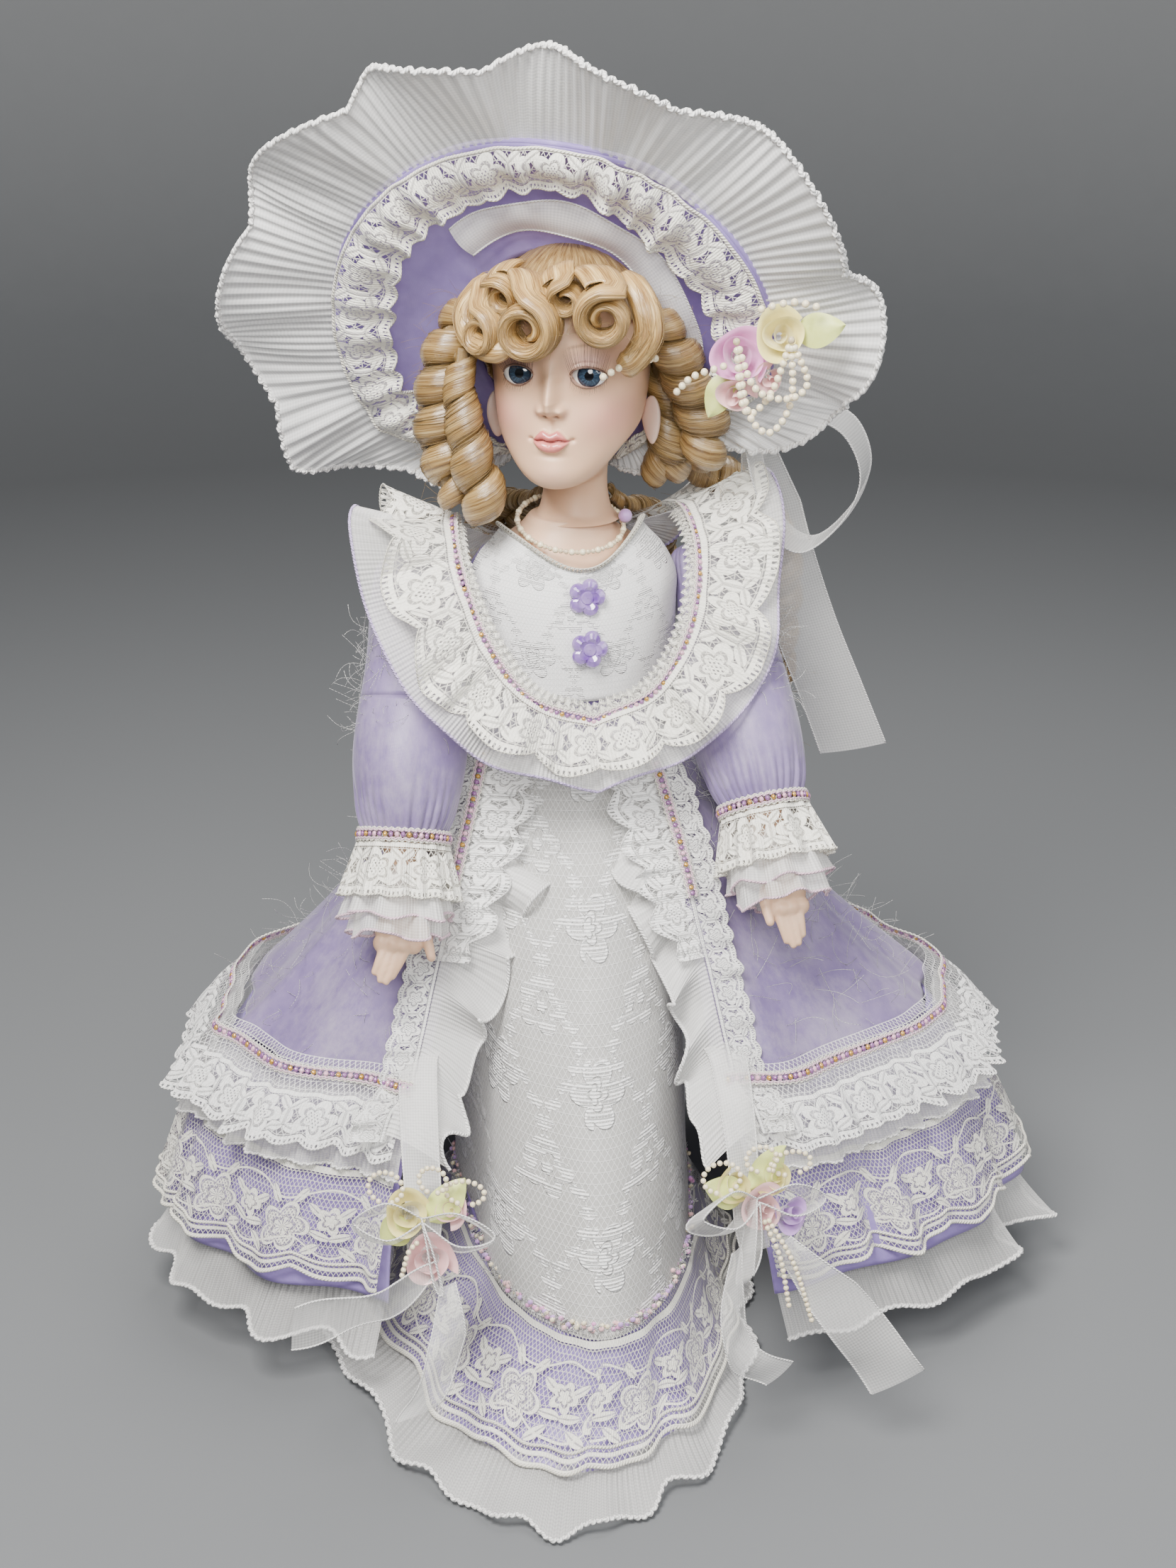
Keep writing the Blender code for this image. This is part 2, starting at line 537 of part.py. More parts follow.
def collar_loop(spread, drop, count):
    """A loop round the yoke: down the front, over the shoulders and round the back. spread widens it and drop
    lowers its outer edge."""
    inner = [(0.0, -0.0400, 0.2440), (0.0200, -0.0395, 0.2520), (0.0330, -0.0330, 0.2700),
             (0.0385, -0.0200, 0.2900), (0.0375, -0.0020, 0.3015), (0.0310, 0.0150, 0.2975),
             (0.0170, 0.0245, 0.2900), (0.0, 0.0270, 0.2880)]
    outer = [(0.0, -0.0520, 0.2220), (0.0330, -0.0505, 0.2330), (0.0590, -0.0420, 0.2540),
             (0.0695, -0.0230, 0.2840), (0.0700, 0.0000, 0.3020), (0.0570, 0.0240, 0.2910),
             (0.0300, 0.0370, 0.2740), (0.0, 0.0400, 0.2700)]
    half = []
    for a, b in zip(inner, outer):
        at = Vector(a).lerp(Vector(b), spread)
        half.append(at - drop * (UP + Vector((at.x, at.y, 0)).normalized()))
    line = smooth(half, count // 14)[:count // 2 + 1]
    other = [Vector((-p.x, p.y, p.z)) for p in line[-2:0:-1]]
    return [*line, *other]


def collar(look):
    rows = [collar_loop(s, 0.0, 28) for s in (0.0, 0.5, 1.0)]
    shell("collar_lace", rows, CLOTH, look["lace"])
    rows = [collar_loop(s, d, 28) for s, d in ((0.12, 0.0024), (0.55, 0.0026), (1.10, 0.0026))]
    shell("collar_organza", rows, CLOTH, look["organza"])


# Overskirt sections: height, half width, depth in front and behind, and the half angle of its front opening.
OVERSKIRT = [(0.2220, 0.0395, 0.0335, 0.0330, 46), (0.2000, 0.0520, 0.0410, 0.0450, 42),
             (0.1700, 0.0760, 0.0520, 0.0660, 34), (0.1400, 0.1040, 0.0640, 0.0880, 29),
             (0.1180, 0.1280, 0.0740, 0.1040, 26)]
TRIM = [(0.1200, 0.1325, 0.0770, 0.1065, 26), (0.1100, 0.1460, 0.0840, 0.1140, 26),
        (0.0980, 0.1570, 0.0905, 0.1215, 26)]
TIER = [(0.1130, 0.1300, 0.0745, 0.1040, 27), (0.0900, 0.1460, 0.0830, 0.1130, 27),
        (0.0640, 0.1590, 0.0920, 0.1190, 27), (0.0440, 0.1640, 0.0970, 0.1230, 27)]
HEM = [(0.0560, 0.1550, 0.0870, 0.1160, 28), (0.0380, 0.1640, 0.0940, 0.1220, 28),
       (0.0230, 0.1715, 0.1000, 0.1280, 28)]
SKIRT_SHIFT = 0.014             # how far the hem lies to the doll's left of the waist


def skirt_part(name, sections, look, parent, count=32):
    rows = []
    for z, half, front, back, opening in sections:
        start = math.radians(opening)
        shift = SKIRT_SHIFT * (1 - z / WAIST_Z)
        rows.append(oval(Vector((shift, 0, z)), half, front, back, count, start, 2 * math.pi - start))
    return shell(name, rows, CLOTH, look, parent, closed=False)


def skirts(look, axis):
    under = [(0.2000, 0.0372, 0.0365, 0.0360), (0.1800, 0.0380, 0.0480, 0.0390),
             (0.1500, 0.0395, 0.0640, 0.0430), (0.1150, 0.0405, 0.0820, 0.0470),
             (0.0750, 0.0415, 0.1000, 0.0510), (0.0420, 0.0430, 0.1120, 0.0550)]
    rows = [oval(Vector((0, 0, z)), x, f, b, 28) for z, x, f, b in under]
    shell("underskirt", rows, CLOTH, look["lace"], axis)
    flounce = [(0.0400, 0.000, 0.0440, 0.1130, 0.0560), (0.0200, -0.005, 0.0580, 0.1250, 0.0600),
               (0.0060, -0.010, 0.0710, 0.1430, 0.0660), (0.0018, -0.013, 0.0795, 0.1580, 0.0700)]
    rows = [oval(Vector((x, 0, z)), half, f, b, 32) for z, x, half, f, b in flounce]
    shell("underskirt_flounce", rows, CLOTH, look["lace"], axis)
    skirt_part("overskirt", OVERSKIRT, look["satin"], axis)
    skirt_part("overskirt_lace", TRIM, look["lace"], axis)
    skirt_part("overskirt_tier", TIER, look["satin"], axis)
    skirt_part("overskirt_hem", HEM, look["organza"], axis)


def front_trim(side, look, axis):
    """What hangs at one edge of the overskirt's front opening: the jabot, the rosette and its ribbon tail."""
    name = "left" if side > 0 else "right"
    edge = [(0.0290, -0.0430, 0.2080), (0.0350, -0.0560, 0.1750), (0.0440, -0.0700, 0.1420),
            (0.0500, -0.0820, 0.1180), (0.0540, -0.0930, 0.0960)]
    line = smooth([Vector((side * x, y, z)) for x, y, z in edge], 3)
    rows = []
    for i, p in enumerate(line):
        wide = 0.0040 + 0.0090 * min(1.0, i / (len(line) - 1) * 1.5)
        row = []
        for t in (-1, -0.33, 0.33, 1):
            row.append(p + Vector((side * wide * t, 0.006 * t - 0.002 * (1 - abs(t)), 0)))
        rows.append(row)
    shell(f"{name}_jabot", rows, CLOTH, look["organza"], axis, closed=False)
    rose = Vector((side * 0.058, -0.1060, 0.0890 + side * 0.003))
    ball(f"{name}_rosette", rose, (0.0130, 0.0075, 0.0100), look["pink" if side > 0 else "yellow"], axis, 14, 8)
    end = Vector((side * 0.100, -0.128, 0.036 - side * 0.010))
    start = rose + Vector((side * 0.009, -0.009, -0.013))
    tail = smooth([start, start.lerp(end, 0.5) + Vector((0, 0.002, 0)), end], 3)
    ribbon(f"{name}_ribbon_tail", tail, Vector((1, 0, 0.45 * side)), 0.0110, look["organza"], axis)


def main():
    clear_scene()
    look = looks()
    neck = upright_axis("neck_axis", HEAD_TURN)
    waist = upright_axis("waist_axis", SKIRT_TURN)
    stand(look)
    body(look)
    for side in (-1, 1):
        leg(side, look)
        arm(side, look)
        front_trim(side, look, waist)
    head(look, neck)
    wig(look, neck)
    hat(look, neck)
    bodice(look)
    collar(look)
    skirts(look, waist)


main()
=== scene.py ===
"""The looks of the porcelain doll: bisque, glass, curled hair, satin, lace and organza round its frame.

Lengths are in metres. The chest faces -Y; the head and the skirts are turned about the upright axis."""

import math

import bpy
import numpy as np
from mathutils import Matrix, Vector


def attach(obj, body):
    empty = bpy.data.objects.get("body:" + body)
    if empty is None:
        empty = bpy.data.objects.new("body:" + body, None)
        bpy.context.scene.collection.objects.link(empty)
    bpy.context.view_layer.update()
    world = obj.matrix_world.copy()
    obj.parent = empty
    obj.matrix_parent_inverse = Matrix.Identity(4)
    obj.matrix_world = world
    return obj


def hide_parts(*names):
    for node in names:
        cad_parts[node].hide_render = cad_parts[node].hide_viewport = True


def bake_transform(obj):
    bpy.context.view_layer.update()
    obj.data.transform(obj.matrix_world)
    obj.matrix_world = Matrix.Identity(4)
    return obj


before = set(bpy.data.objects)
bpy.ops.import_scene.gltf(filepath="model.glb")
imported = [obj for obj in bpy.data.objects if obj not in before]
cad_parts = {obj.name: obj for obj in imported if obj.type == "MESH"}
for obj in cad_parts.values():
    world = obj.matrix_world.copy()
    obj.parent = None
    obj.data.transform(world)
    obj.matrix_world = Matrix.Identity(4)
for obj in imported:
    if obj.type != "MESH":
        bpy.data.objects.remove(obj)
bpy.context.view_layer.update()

HEAD_TURN = math.radians(-24)
SKIRT_TURN = math.radians(-6)
TAU = 2 * math.pi
MM = 0.001


# ---- camera, lights and floor --------------------------------------------------------------------
def studio():
    """The camera, four soft lights and a floor that sweeps up into a backdrop."""
    aim, pitch = math.radians(-12), math.radians(21.7)
    spot = Matrix.Rotation(aim, 3, "Z") @ Vector((0.007, -0.75, 0.5))
    camera = bpy.data.objects.new("camera", bpy.data.cameras.new("camera"))
    camera.data.sensor_fit = "VERTICAL"
    camera.data.sensor_height = 36
    camera.data.lens = 51.4
    camera.data.clip_start = 0.01
    camera.location = spot
    camera.rotation_euler = (math.pi / 2 - pitch, 0, aim)
    bpy.context.scene.collection.objects.link(camera)
    bpy.context.scene.camera = camera

    def area(name, at, size, power, colour):
        light = bpy.data.lights.new(name, "AREA")
        light.shape, light.size, light.energy, light.color = "DISK", size, power, colour
        lamp = bpy.data.objects.new(name, light)
        lamp.location = Matrix.Rotation(aim, 3, "Z") @ Vector(at)
        lamp.rotation_euler = (Vector((0, 0, 0.22)) - lamp.location).to_track_quat("-Z", "Y").to_euler()
        bpy.context.scene.collection.objects.link(lamp)

    area("key", (-0.22, -0.50, 0.92), 0.40, 19, (1.0, 0.98, 0.95))
    area("fill", (0.80, -0.60, 0.75), 0.7, 6, (0.97, 0.98, 1.0))
    area("top", (0.1, 0.25, 1.15), 0.7, 10, (1.0, 0.99, 0.97))
    area("front", (0.05, -0.80, 0.62), 0.35, 4.5, (1.0, 0.985, 0.96))
    world = bpy.data.worlds.new("studio")
    world.use_nodes = True
    world.node_tree.nodes["Background"].inputs["Color"].default_value = (0.98, 0.98, 1.0, 1)
    world.node_tree.nodes["Background"].inputs["Strength"].default_value = 0.34
    bpy.context.scene.world = world

    profile = [(0.0001, 0.0), (0.6, 0.0), (1.35, 0.0)]
    profile += [(1.35 + 0.5 * math.sin(a), 0.5 - 0.5 * math.cos(a))
                for a in np.linspace(0.1, math.pi / 2, 12)]
    profile += [(1.85, 1.9)]
    rings = np.array([[(r * math.cos(a), r * math.sin(a), z) for a in np.linspace(0, TAU, 97)[:-1]]
                      for r, z in profile])
    sweep = grid_mesh("backdrop", rings, closed=True)
    paint(sweep, backdrop_painted_light())


# ---- meshes --------------------------------------------------------------------------------------
def unit(a):
    return a / (np.linalg.norm(a, axis=-1, keepdims=True) + 1e-12)


def turn(points, angle):
    """Points turned about the upright axis."""
    c, s = math.cos(angle), math.sin(angle)
    p = np.asarray(points, float)
    return np.stack([p[..., 0] * c - p[..., 1] * s, p[..., 0] * s + p[..., 1] * c, p[..., 2]], -1)


def spline(points, count):
    """count points along a Catmull-Rom line through rows of numbers."""
    p = np.asarray(points, float)
    p = np.vstack([2 * p[0] - p[1], p, 2 * p[-1] - p[-2]])
    t = np.linspace(0, len(p) - 3, count)
    i = np.minimum(t.astype(int), len(p) - 4)
    t = (t - i)[:, None]
    a, b, c, d = p[i], p[i + 1], p[i + 2], p[i + 3]
    return 0.5 * (2 * b + (c - a) * t + (2 * a - 5 * b + 4 * c - d) * t**2 + (3 * b - 3 * c + d - a) * t**3)


def lengths(line):
    """Distance along a line of points, from its start."""
    return np.concatenate([[0], np.cumsum(np.linalg.norm(np.diff(line, axis=0), axis=1))])


def even(line, count):
    """count points at even distances along a line."""
    at = lengths(line)
    want = np.linspace(0, at[-1], count)
    return np.stack([np.interp(want, at, line[:, k]) for k in range(line.shape[1])], -1)


def normals(grid, closed=False):
    """The outward direction at each point of a grid of points, from its rows and columns."""
    if closed:
        along = np.roll(grid, -1, 1) - np.roll(grid, 1, 1)
    else:
        along = np.gradient(grid, axis=1)
    return unit(np.cross(along, np.gradient(grid, axis=0)))


def faces_of(rows, cols, closed):
    i, j = np.meshgrid(np.arange(rows - 1), np.arange(cols if closed else cols - 1), indexing="ij")
    k = (j + 1) % cols
    return np.stack([i * cols + j, i * cols + k, (i + 1) * cols + k, (i + 1) * cols + j], -1).reshape(-1, 4)


def grid_part(grid, closed=False, uv=None):
    """Vertices, faces and UVs of a grid of points.

    A closed grid joins each row's last point to its first, and its uv has one more column."""
    rows, cols = grid.shape[:2]
    faces = faces_of(rows, cols, closed)
    if uv is None:
        u, v = np.meshgrid(np.arange(cols + closed), np.arange(rows))
        uv = np.stack([u, v], -1).astype(float)
    i, j = np.meshgrid(np.arange(rows - 1), np.arange(cols if closed else cols - 1), indexing="ij")
    loops = np.stack([uv[i, j], uv[i, j + 1], uv[i + 1, j + 1], uv[i + 1, j]], -2).reshape(-1, 2)
    return grid.reshape(-1, 3), faces, loops


def make(name, parts, solid=0.0, look=None):
    """One object from several parts, each vertices, quads and a UV for every corner."""
    start = 0
    all_verts, all_faces, all_uv = [], [], []
    for verts, faces, uv in parts:
        all_verts.append(verts)
        all_faces.append(faces + start)
        all_uv.append(uv)
        start += len(verts)
    verts, faces, uv = np.concatenate(all_verts), np.concatenate(all_faces), np.concatenate(all_uv)
    mesh = bpy.data.meshes.new(name)
    mesh.vertices.add(len(verts))
    mesh.vertices.foreach_set("co", verts.astype(np.float32).ravel())
    mesh.loops.add(faces.size)
    mesh.loops.foreach_set("vertex_index", faces.astype(np.int32).ravel())
    mesh.polygons.add(len(faces))
    mesh.polygons.foreach_set("loop_start", np.arange(0, faces.size, faces.shape[1], dtype=np.int32))
    mesh.update(calc_edges=True)
    mesh.uv_layers.new(name="UVMap").data.foreach_set("uv", uv.astype(np.float32).ravel())
    mesh.shade_smooth()
    obj = bpy.data.objects.new(name, mesh)
    bpy.context.scene.collection.objects.link(obj)
    if look:
        paint(obj, look)
    if solid:
        thick = obj.modifiers.new("thickness", "SOLIDIFY")
        thick.thickness, thick.offset = solid, 0
    return obj


def group(name, pairs):
    """One object from (part, material) pairs."""
    obj = make(name, [part for part, _ in pairs])
    looks = []
    index = []
    for part, look in pairs:
        if look not in looks:
            looks.append(look)
        index.append(np.full(len(part[1]), looks.index(look), np.int32))
    obj.data.materials.clear()
    for look in looks:
        obj.data.materials.append(look)
    obj.data.polygons.foreach_set("material_index", np.concatenate(index))
    return obj


def grid_mesh(name, grid, closed=False, uv=None, solid=0.0, look=None):
    return make(name, [grid_part(np.asarray(grid, float), closed, uv)], solid, look)


def paint(obj, look):
    obj.data.materials.clear()
    obj.data.materials.append(look)
    return obj


def frames(line):
    """Two directions across a line at each of its points, turning as little as they can."""
    t = unit(np.gradient(line, axis=0))
    side = np.zeros_like(t)
    start = np.cross(t[0], (0.0, 0.0, 1.0))
    if np.linalg.norm(start) < 0.2:
        start = np.cross(t[0], (0.0, 1.0, 0.0))
    side[0] = unit(start)
    for i in range(1, len(t)):
        side[i] = unit(side[i - 1] - t[i] * side[i - 1].dot(t[i]))
    return t, side, np.cross(t, side)


def tube_part(line, radius, sides=6, capped=True):
    """A round tube along a line. radius is one number or one for each point."""
    line = np.asarray(line, float)
    radius = np.broadcast_to(radius, len(line)).astype(float)
    _, a, b = frames(line)
    if capped:
        line, a, b = (np.vstack([k[:1], k, k[-1:]]) for k in (line, a, b))
        radius = np.concatenate([[1e-6], radius, [1e-6]])
    turns = np.linspace(0, TAU, sides, endpoint=False)
    rings = line[:, None] + radius[:, None, None] * (
        a[:, None] * np.cos(turns)[None, :, None] + b[:, None] * np.sin(turns)[None, :, None])
    along = lengths(line)
    u, v = np.meshgrid(np.linspace(0, 1, sides + 1), along)
    return grid_part(rings, True, np.stack([v, u], -1))


def ball_part(centre, radius, segments=10, rings=6):
    a, b = np.linspace(0, TAU, segments, endpoint=False), np.linspace(0.02, math.pi - 0.02, rings)
    radius = np.broadcast_to(radius, 3)
    grid = np.stack([np.outer(np.sin(b), np.cos(a)), np.outer(np.sin(b), np.sin(a)),
                     np.outer(np.cos(b), np.ones_like(a))], -1)
    return grid_part(grid * radius + np.asarray(centre), True)


# ---- materials -----------------------------------------------------------------------------------
class Field:
    """A number worked out by nodes at each point of a surface."""

    def __init__(self, tree, socket):
        self.tree, self.socket = tree, socket

    def math(self, kind, *others):
        node = self.tree.nodes.new("ShaderNodeMath")
        node.operation = kind
        for slot, value in zip(node.inputs, (self, *others)):
            if isinstance(value, Field):
                self.tree.links.new(value.socket, slot)
            else:
                slot.default_value = value
        return Field(self.tree, node.outputs[0])

    def __add__(self, other):
        return self.math("ADD", other)

    def __radd__(self, other):
        return self.math("ADD", other)

    def __sub__(self, other):
        return self.math("SUBTRACT", other)

    def __rsub__(self, other):
        return self.math("MULTIPLY", -1.0).math("ADD", other)

    def __mul__(self, other):
        return self.math("MULTIPLY", other)

    def __rmul__(self, other):
        return self.math("MULTIPLY", other)

    def __truediv__(self, other):
        return self.math("DIVIDE", other)

    def sin(self):
        return self.math("SINE")

    def abs(self):
        return self.math("ABSOLUTE")

    def within(self, limit, soft):
        """1 where the number is below limit, falling to 0 over the width soft."""
        node = self.tree.nodes.new("ShaderNodeMapRange")
        node.interpolation_type = "SMOOTHSTEP"
        node.inputs["From Min"].default_value = limit
        node.inputs["From Max"].default_value = limit + soft
        node.inputs["To Min"].default_value = 1.0
        node.inputs["To Max"].default_value = 0.0
        self.tree.links.new(self.socket, node.inputs["Value"])
        return Field(self.tree, node.outputs["Result"])

    def most(self, other):
        return self.math("MAXIMUM", other)

    def least(self, other):
        return self.math("MINIMUM", other)

    def mod(self, size):
        return self.math("FLOORED_MODULO", size)


class Look:
    """A material with a Principled shader, and helpers that feed it."""

    def __init__(self, name, colour, rough, **constants):
        self.material = bpy.data.materials.new(name)
        self.material.use_nodes = True
        self.tree = self.material.node_tree
        self.shader = self.tree.nodes["Principled BSDF"]
        self.shader.inputs["Base Color"].default_value = (*colour, 1)
        self.shader.inputs["Roughness"].default_value = rough
        for key, value in constants.items():
            self.shader.inputs[key.replace("_", " ")].default_value = value

    def uv(self):
        node = self.tree.nodes.new("ShaderNodeUVMap")
        node.uv_map = "UVMap"
        return self.split(node.outputs["UV"])

    def split(self, socket):
        node = self.tree.nodes.new("ShaderNodeSeparateXYZ")
        self.tree.links.new(socket, node.inputs[0])
        return [Field(self.tree, s) for s in node.outputs]

    def place(self):
        """The object's own coordinates."""
        return self.tree.nodes.new("ShaderNodeTexCoord").outputs["Object"]

    def joined(self, x, y, z=0.0):
        node = self.tree.nodes.new("ShaderNodeCombineXYZ")
        for slot, value in zip(node.inputs, (x, y, z)):
            if isinstance(value, Field):
                self.tree.links.new(value.socket, slot)
            else:
                slot.default_value = value
        return node.outputs[0]

    def noise(self, scale, at=None, detail=3.0, rough=0.55):
        node = self.tree.nodes.new("ShaderNodeTexNoise")
        node.inputs["Scale"].default_value = scale
        node.inputs["Detail"].default_value = detail
        node.inputs["Roughness"].default_value = rough
        self.tree.links.new(at or self.place(), node.inputs["Vector"])
        return Field(self.tree, node.outputs["Fac"])

    def colours(self, field, *stops):
        """A colour ramp: stops are (position, (r, g, b))."""
        node = self.tree.nodes.new("ShaderNodeValToRGB")
        ramp = node.color_ramp
        while len(ramp.elements) < len(stops):
            ramp.elements.new(0.5)
        for element, (at, colour) in zip(ramp.elements, stops):
            element.position, element.color = at, (*colour, 1)
        self.tree.links.new(field.socket, node.inputs["Fac"])
        return node.outputs["Color"]

    def mix(self, field, a, b, kind="MIX"):
        node = self.tree.nodes.new("ShaderNodeMix")
        node.data_type, node.blend_type = "RGBA", kind
        for slot, value in ((node.inputs[6], a), (node.inputs[7], b)):
            if isinstance(value, tuple):
                slot.default_value = (*value, 1)
            else:
                self.tree.links.new(value, slot)
        if isinstance(field, Field):
            self.tree.links.new(field.socket, node.inputs[0])
        else:
            node.inputs[0].default_value = field
        return node.outputs[2]

    def feed(self, name, value):
        self.tree.links.new(value.socket if isinstance(value, Field) else value, self.shader.inputs[name])

    def bump(self, field, depth, strength=1.0):
        node = self.tree.nodes.new("ShaderNodeBump")
        node.inputs["Distance"].default_value = depth
        node.inputs["Strength"].default_value = strength
        self.tree.links.new(field.socket, node.inputs["Height"])
        self.tree.links.new(node.outputs[0], self.shader.inputs["Normal"])


_made = {}


def once(build):
    """A material's function makes it the first time and then gives the same one again."""
    def give(*args):
        key = (build.__name__, *args)
        if key not in _made:
            _made[key] = build(*args)
        return _made[key]
    return give


@once
def backdrop_painted_light():
    look = Look("backdrop_paper", (0.175, 0.182, 0.19), 0.85)
    # Painted light and shade: the colour is darker on the floor and lighter up the wall, as the studio light
    # falls.
    height = look.split(look.place())[2] + look.noise(35.0) * 0.02
    look.feed("Base Color", look.colours(height, (0.02, (0.145, 0.151, 0.157)), (0.10, (0.165, 0.172, 0.179)),
                                         (0.42, (0.34, 0.348, 0.356))))
    return look.material


@once
def bisque():
    look = Look("bisque", (0.74, 0.50, 0.36), 0.43, Subsurface_Weight=0.08, Subsurface_Scale=0.002,
                Coat_Weight=0.04, Coat_Roughness=0.3)
    cloud = look.noise(90.0, detail=4)
    look.feed("Base Color", look.colours(cloud, (0.3, (0.68, 0.43, 0.275)), (0.72, (0.75, 0.50, 0.34))))
    look.feed("Roughness", cloud * 0.12 + 0.38)
    look.bump(look.noise(1600.0, detail=2), 0.00003, 0.5)
    return look.material


@once
def painted_bisque():
    """Bisque whose china paint and painted shade are in the mesh's colour attribute."""
    look = Look("painted_bisque", (0.8, 0.6, 0.5), 0.42, Subsurface_Weight=0.08, Subsurface_Scale=0.002,
                Coat_Weight=0.04, Coat_Roughness=0.3)
    node = look.tree.nodes.new("ShaderNodeVertexColor")
    node.layer_name = "china_paint_and_painted_shade"
    cloud = look.noise(90.0, detail=4)
    tone = look.colours(cloud, (0.3, (0.96, 0.955, 0.95)), (0.72, (1.0, 1.0, 1.0)))
    look.feed("Base Color", look.mix(1.0, node.outputs["Color"], tone, "MULTIPLY"))
    gloss = Field(look.tree, node.outputs["Alpha"])
    look.feed("Roughness", gloss * 0.42 + 0.14)
    look.bump(look.noise(1600.0, detail=2), 0.00003, 0.5)
    return look.material


@once
def eye_glass():
    """The iris, pupil and white from the distance off the eye's own -Y axis."""
    look = Look("eye_glass", (0.9, 0.9, 0.9), 0.06, Coat_Weight=1.0, Coat_Roughness=0.02)
    x, _, z = look.split(look.place())
    off = (x * x + z * z).math("SQRT") * 1000.0
    rays = look.noise(1.0, look.joined(x.math("ARCTAN2", z) * 5.0, off * 0.35), detail=5, rough=0.7)
    iris = look.colours(rays, (0.30, (0.006, 0.011, 0.024)), (0.52, (0.022, 0.042, 0.072)),
                        (0.72, (0.075, 0.125, 0.18)))
    rim = (off - 3.75).within(-0.75, 0.75)
    iris = look.mix(rim, (0.006, 0.010, 0.03), iris)
    white = look.colours(look.noise(300.0), (0.3, (0.80, 0.79, 0.77)), (0.7, (0.90, 0.89, 0.88)))
    eye = look.mix(off.within(3.72, 0.22), white, iris)
    look.feed("Base Color", look.mix(off.within(1.40, 0.18), eye, (0.002, 0.002, 0.003)))
    return look.material


@once
def lash():
    look = Look("lash", (0.035, 0.02, 0.03), 0.45)
    look.feed("Base Color", look.colours(look.noise(500.0), (0.3, (0.02, 0.012, 0.02)),
                                         (0.7, (0.06, 0.035, 0.05))))
    return look.material


@once
def hair(tone="hat_shaded"):
    """Golden strands: UV runs along the lock in metres and across it."""
    # Lit and shaded copies of one hair: the darker copy, painted in shade, is for the ringlets and curls
    # under the hat, and the lighter copy, painted lit, is for the fringe.
    light = {"hat_shaded": 0.72, "front_lit": 1.22}[tone]
    look = Look(f"hair_{tone}", (0.6, 0.42, 0.2), 0.30, Specular_IOR_Level=0.9, Coat_Weight=0.25,
                Coat_Roughness=0.32)
    u, v, _ = look.uv()
    fine = look.noise(1.0, look.joined(u * 55.0, v * 2400.0), detail=4, rough=0.65)
    broad = look.noise(1.0, look.joined(u * 70.0, v * 420.0, 3.0), detail=2)
    both = fine * 0.62 + broad * 0.38
    shades = ((0.065, 0.030, 0.008), (0.24, 0.132, 0.040), (0.47, 0.30, 0.108), (0.78, 0.585, 0.30))
    tones = [tuple(light * c for c in shade) for shade in shades]
    look.feed("Base Color", look.colours(both, *zip((0.30, 0.43, 0.55, 0.70), tones)))
    look.feed("Roughness", fine * 0.20 + 0.18)
    look.bump(fine, 0.0003, 0.8)
    return look.material


def cloth_noise(look):
    """Soft clouds where the pile of the cloth thins and lies another way."""
    return look.noise(28.0, detail=4, rough=0.6) * 0.6 + look.noise(210.0, detail=3) * 0.4


@once
def lavender_satin(pile=1):
    """Lavender satin. With pile, white mohair fibres haze it, as on the sleeves and the overskirt."""
    look = Look("lavender_satin_pile" if pile else "lavender_satin_plain", (0.27, 0.20, 0.42), 0.36,
                Sheen_Weight=0.35 if pile else 0.2, Sheen_Roughness=0.35)
    look.shader.inputs["Sheen Tint"].default_value = (0.92, 0.90, 1.0, 1)
    u, v, _ = look.uv()
    clouds = cloth_noise(look)
    deep, pale = ((0.155, 0.108, 0.262), (0.262, 0.205, 0.365)) if pile else ((0.21, 0.145, 0.40),
                                                                              (0.33, 0.255, 0.55))
    satin = look.colours(clouds, (0.30, deep), (0.70, pale))
    if pile:
        hairs = look.noise(1.0, look.joined(u * 520.0, v * 170.0), detail=5, rough=0.75)
        patches = look.noise(46.0, detail=3)
        haze = (hairs * 0.9 + patches * 0.9 - 0.80).math("MAXIMUM", 0.0).least(0.62)
        satin = look.mix(haze, satin, (0.46, 0.425, 0.475))
    look.feed("Base Color", satin)
    look.feed("Roughness", clouds * 0.25 + 0.24)
    weave = (u * (TAU / 0.00034)).sin() * 0.35 + (v * (TAU / 0.00030)).sin() * 0.35
    look.bump(weave + look.noise(900.0), 0.00004, 0.5)
    return look.material


def petals(u, v, radius, count=5):
    """Distance from a flower's middle, 1 on the outline of its petals."""
    angle = v.math("ARCTAN2", u)
    reach = ((angle * (count / 2)).math("COSINE").abs() * 0.40 + 0.62) * radius
    return (u * u + v * v).math("SQRT") / reach, angle


def band(value, middle, half, soft):
    """1 where value is within half of middle."""
    return (value - middle).abs().within(half, soft)


def repeat(value, size, shift=0.0):
    return (value + shift).mod(size) - size / 2


def with_leaves(flower, fu, v, places, narrow, half, vein, cut):
    """A lace flower with leaves on both sides. places are (x, y, tilt), and lengths are in millimetres."""
    for x, y, tilt in places:
        for side in (-1, 1):
            lu, lv = fu - side * x * MM, v - y * MM
            c, s = math.cos(side * tilt), math.sin(side * tilt)
            along, over = lu * c + lv * s, lv * c - lu * s
            shape = ((along * along) * narrow + over * over).math("SQRT")
            leaf = shape.within(half * MM, 0.16 * MM) - over.abs().within(vein * MM, 0.16 * MM) * cut
            flower = flower.most(leaf)
    return flower


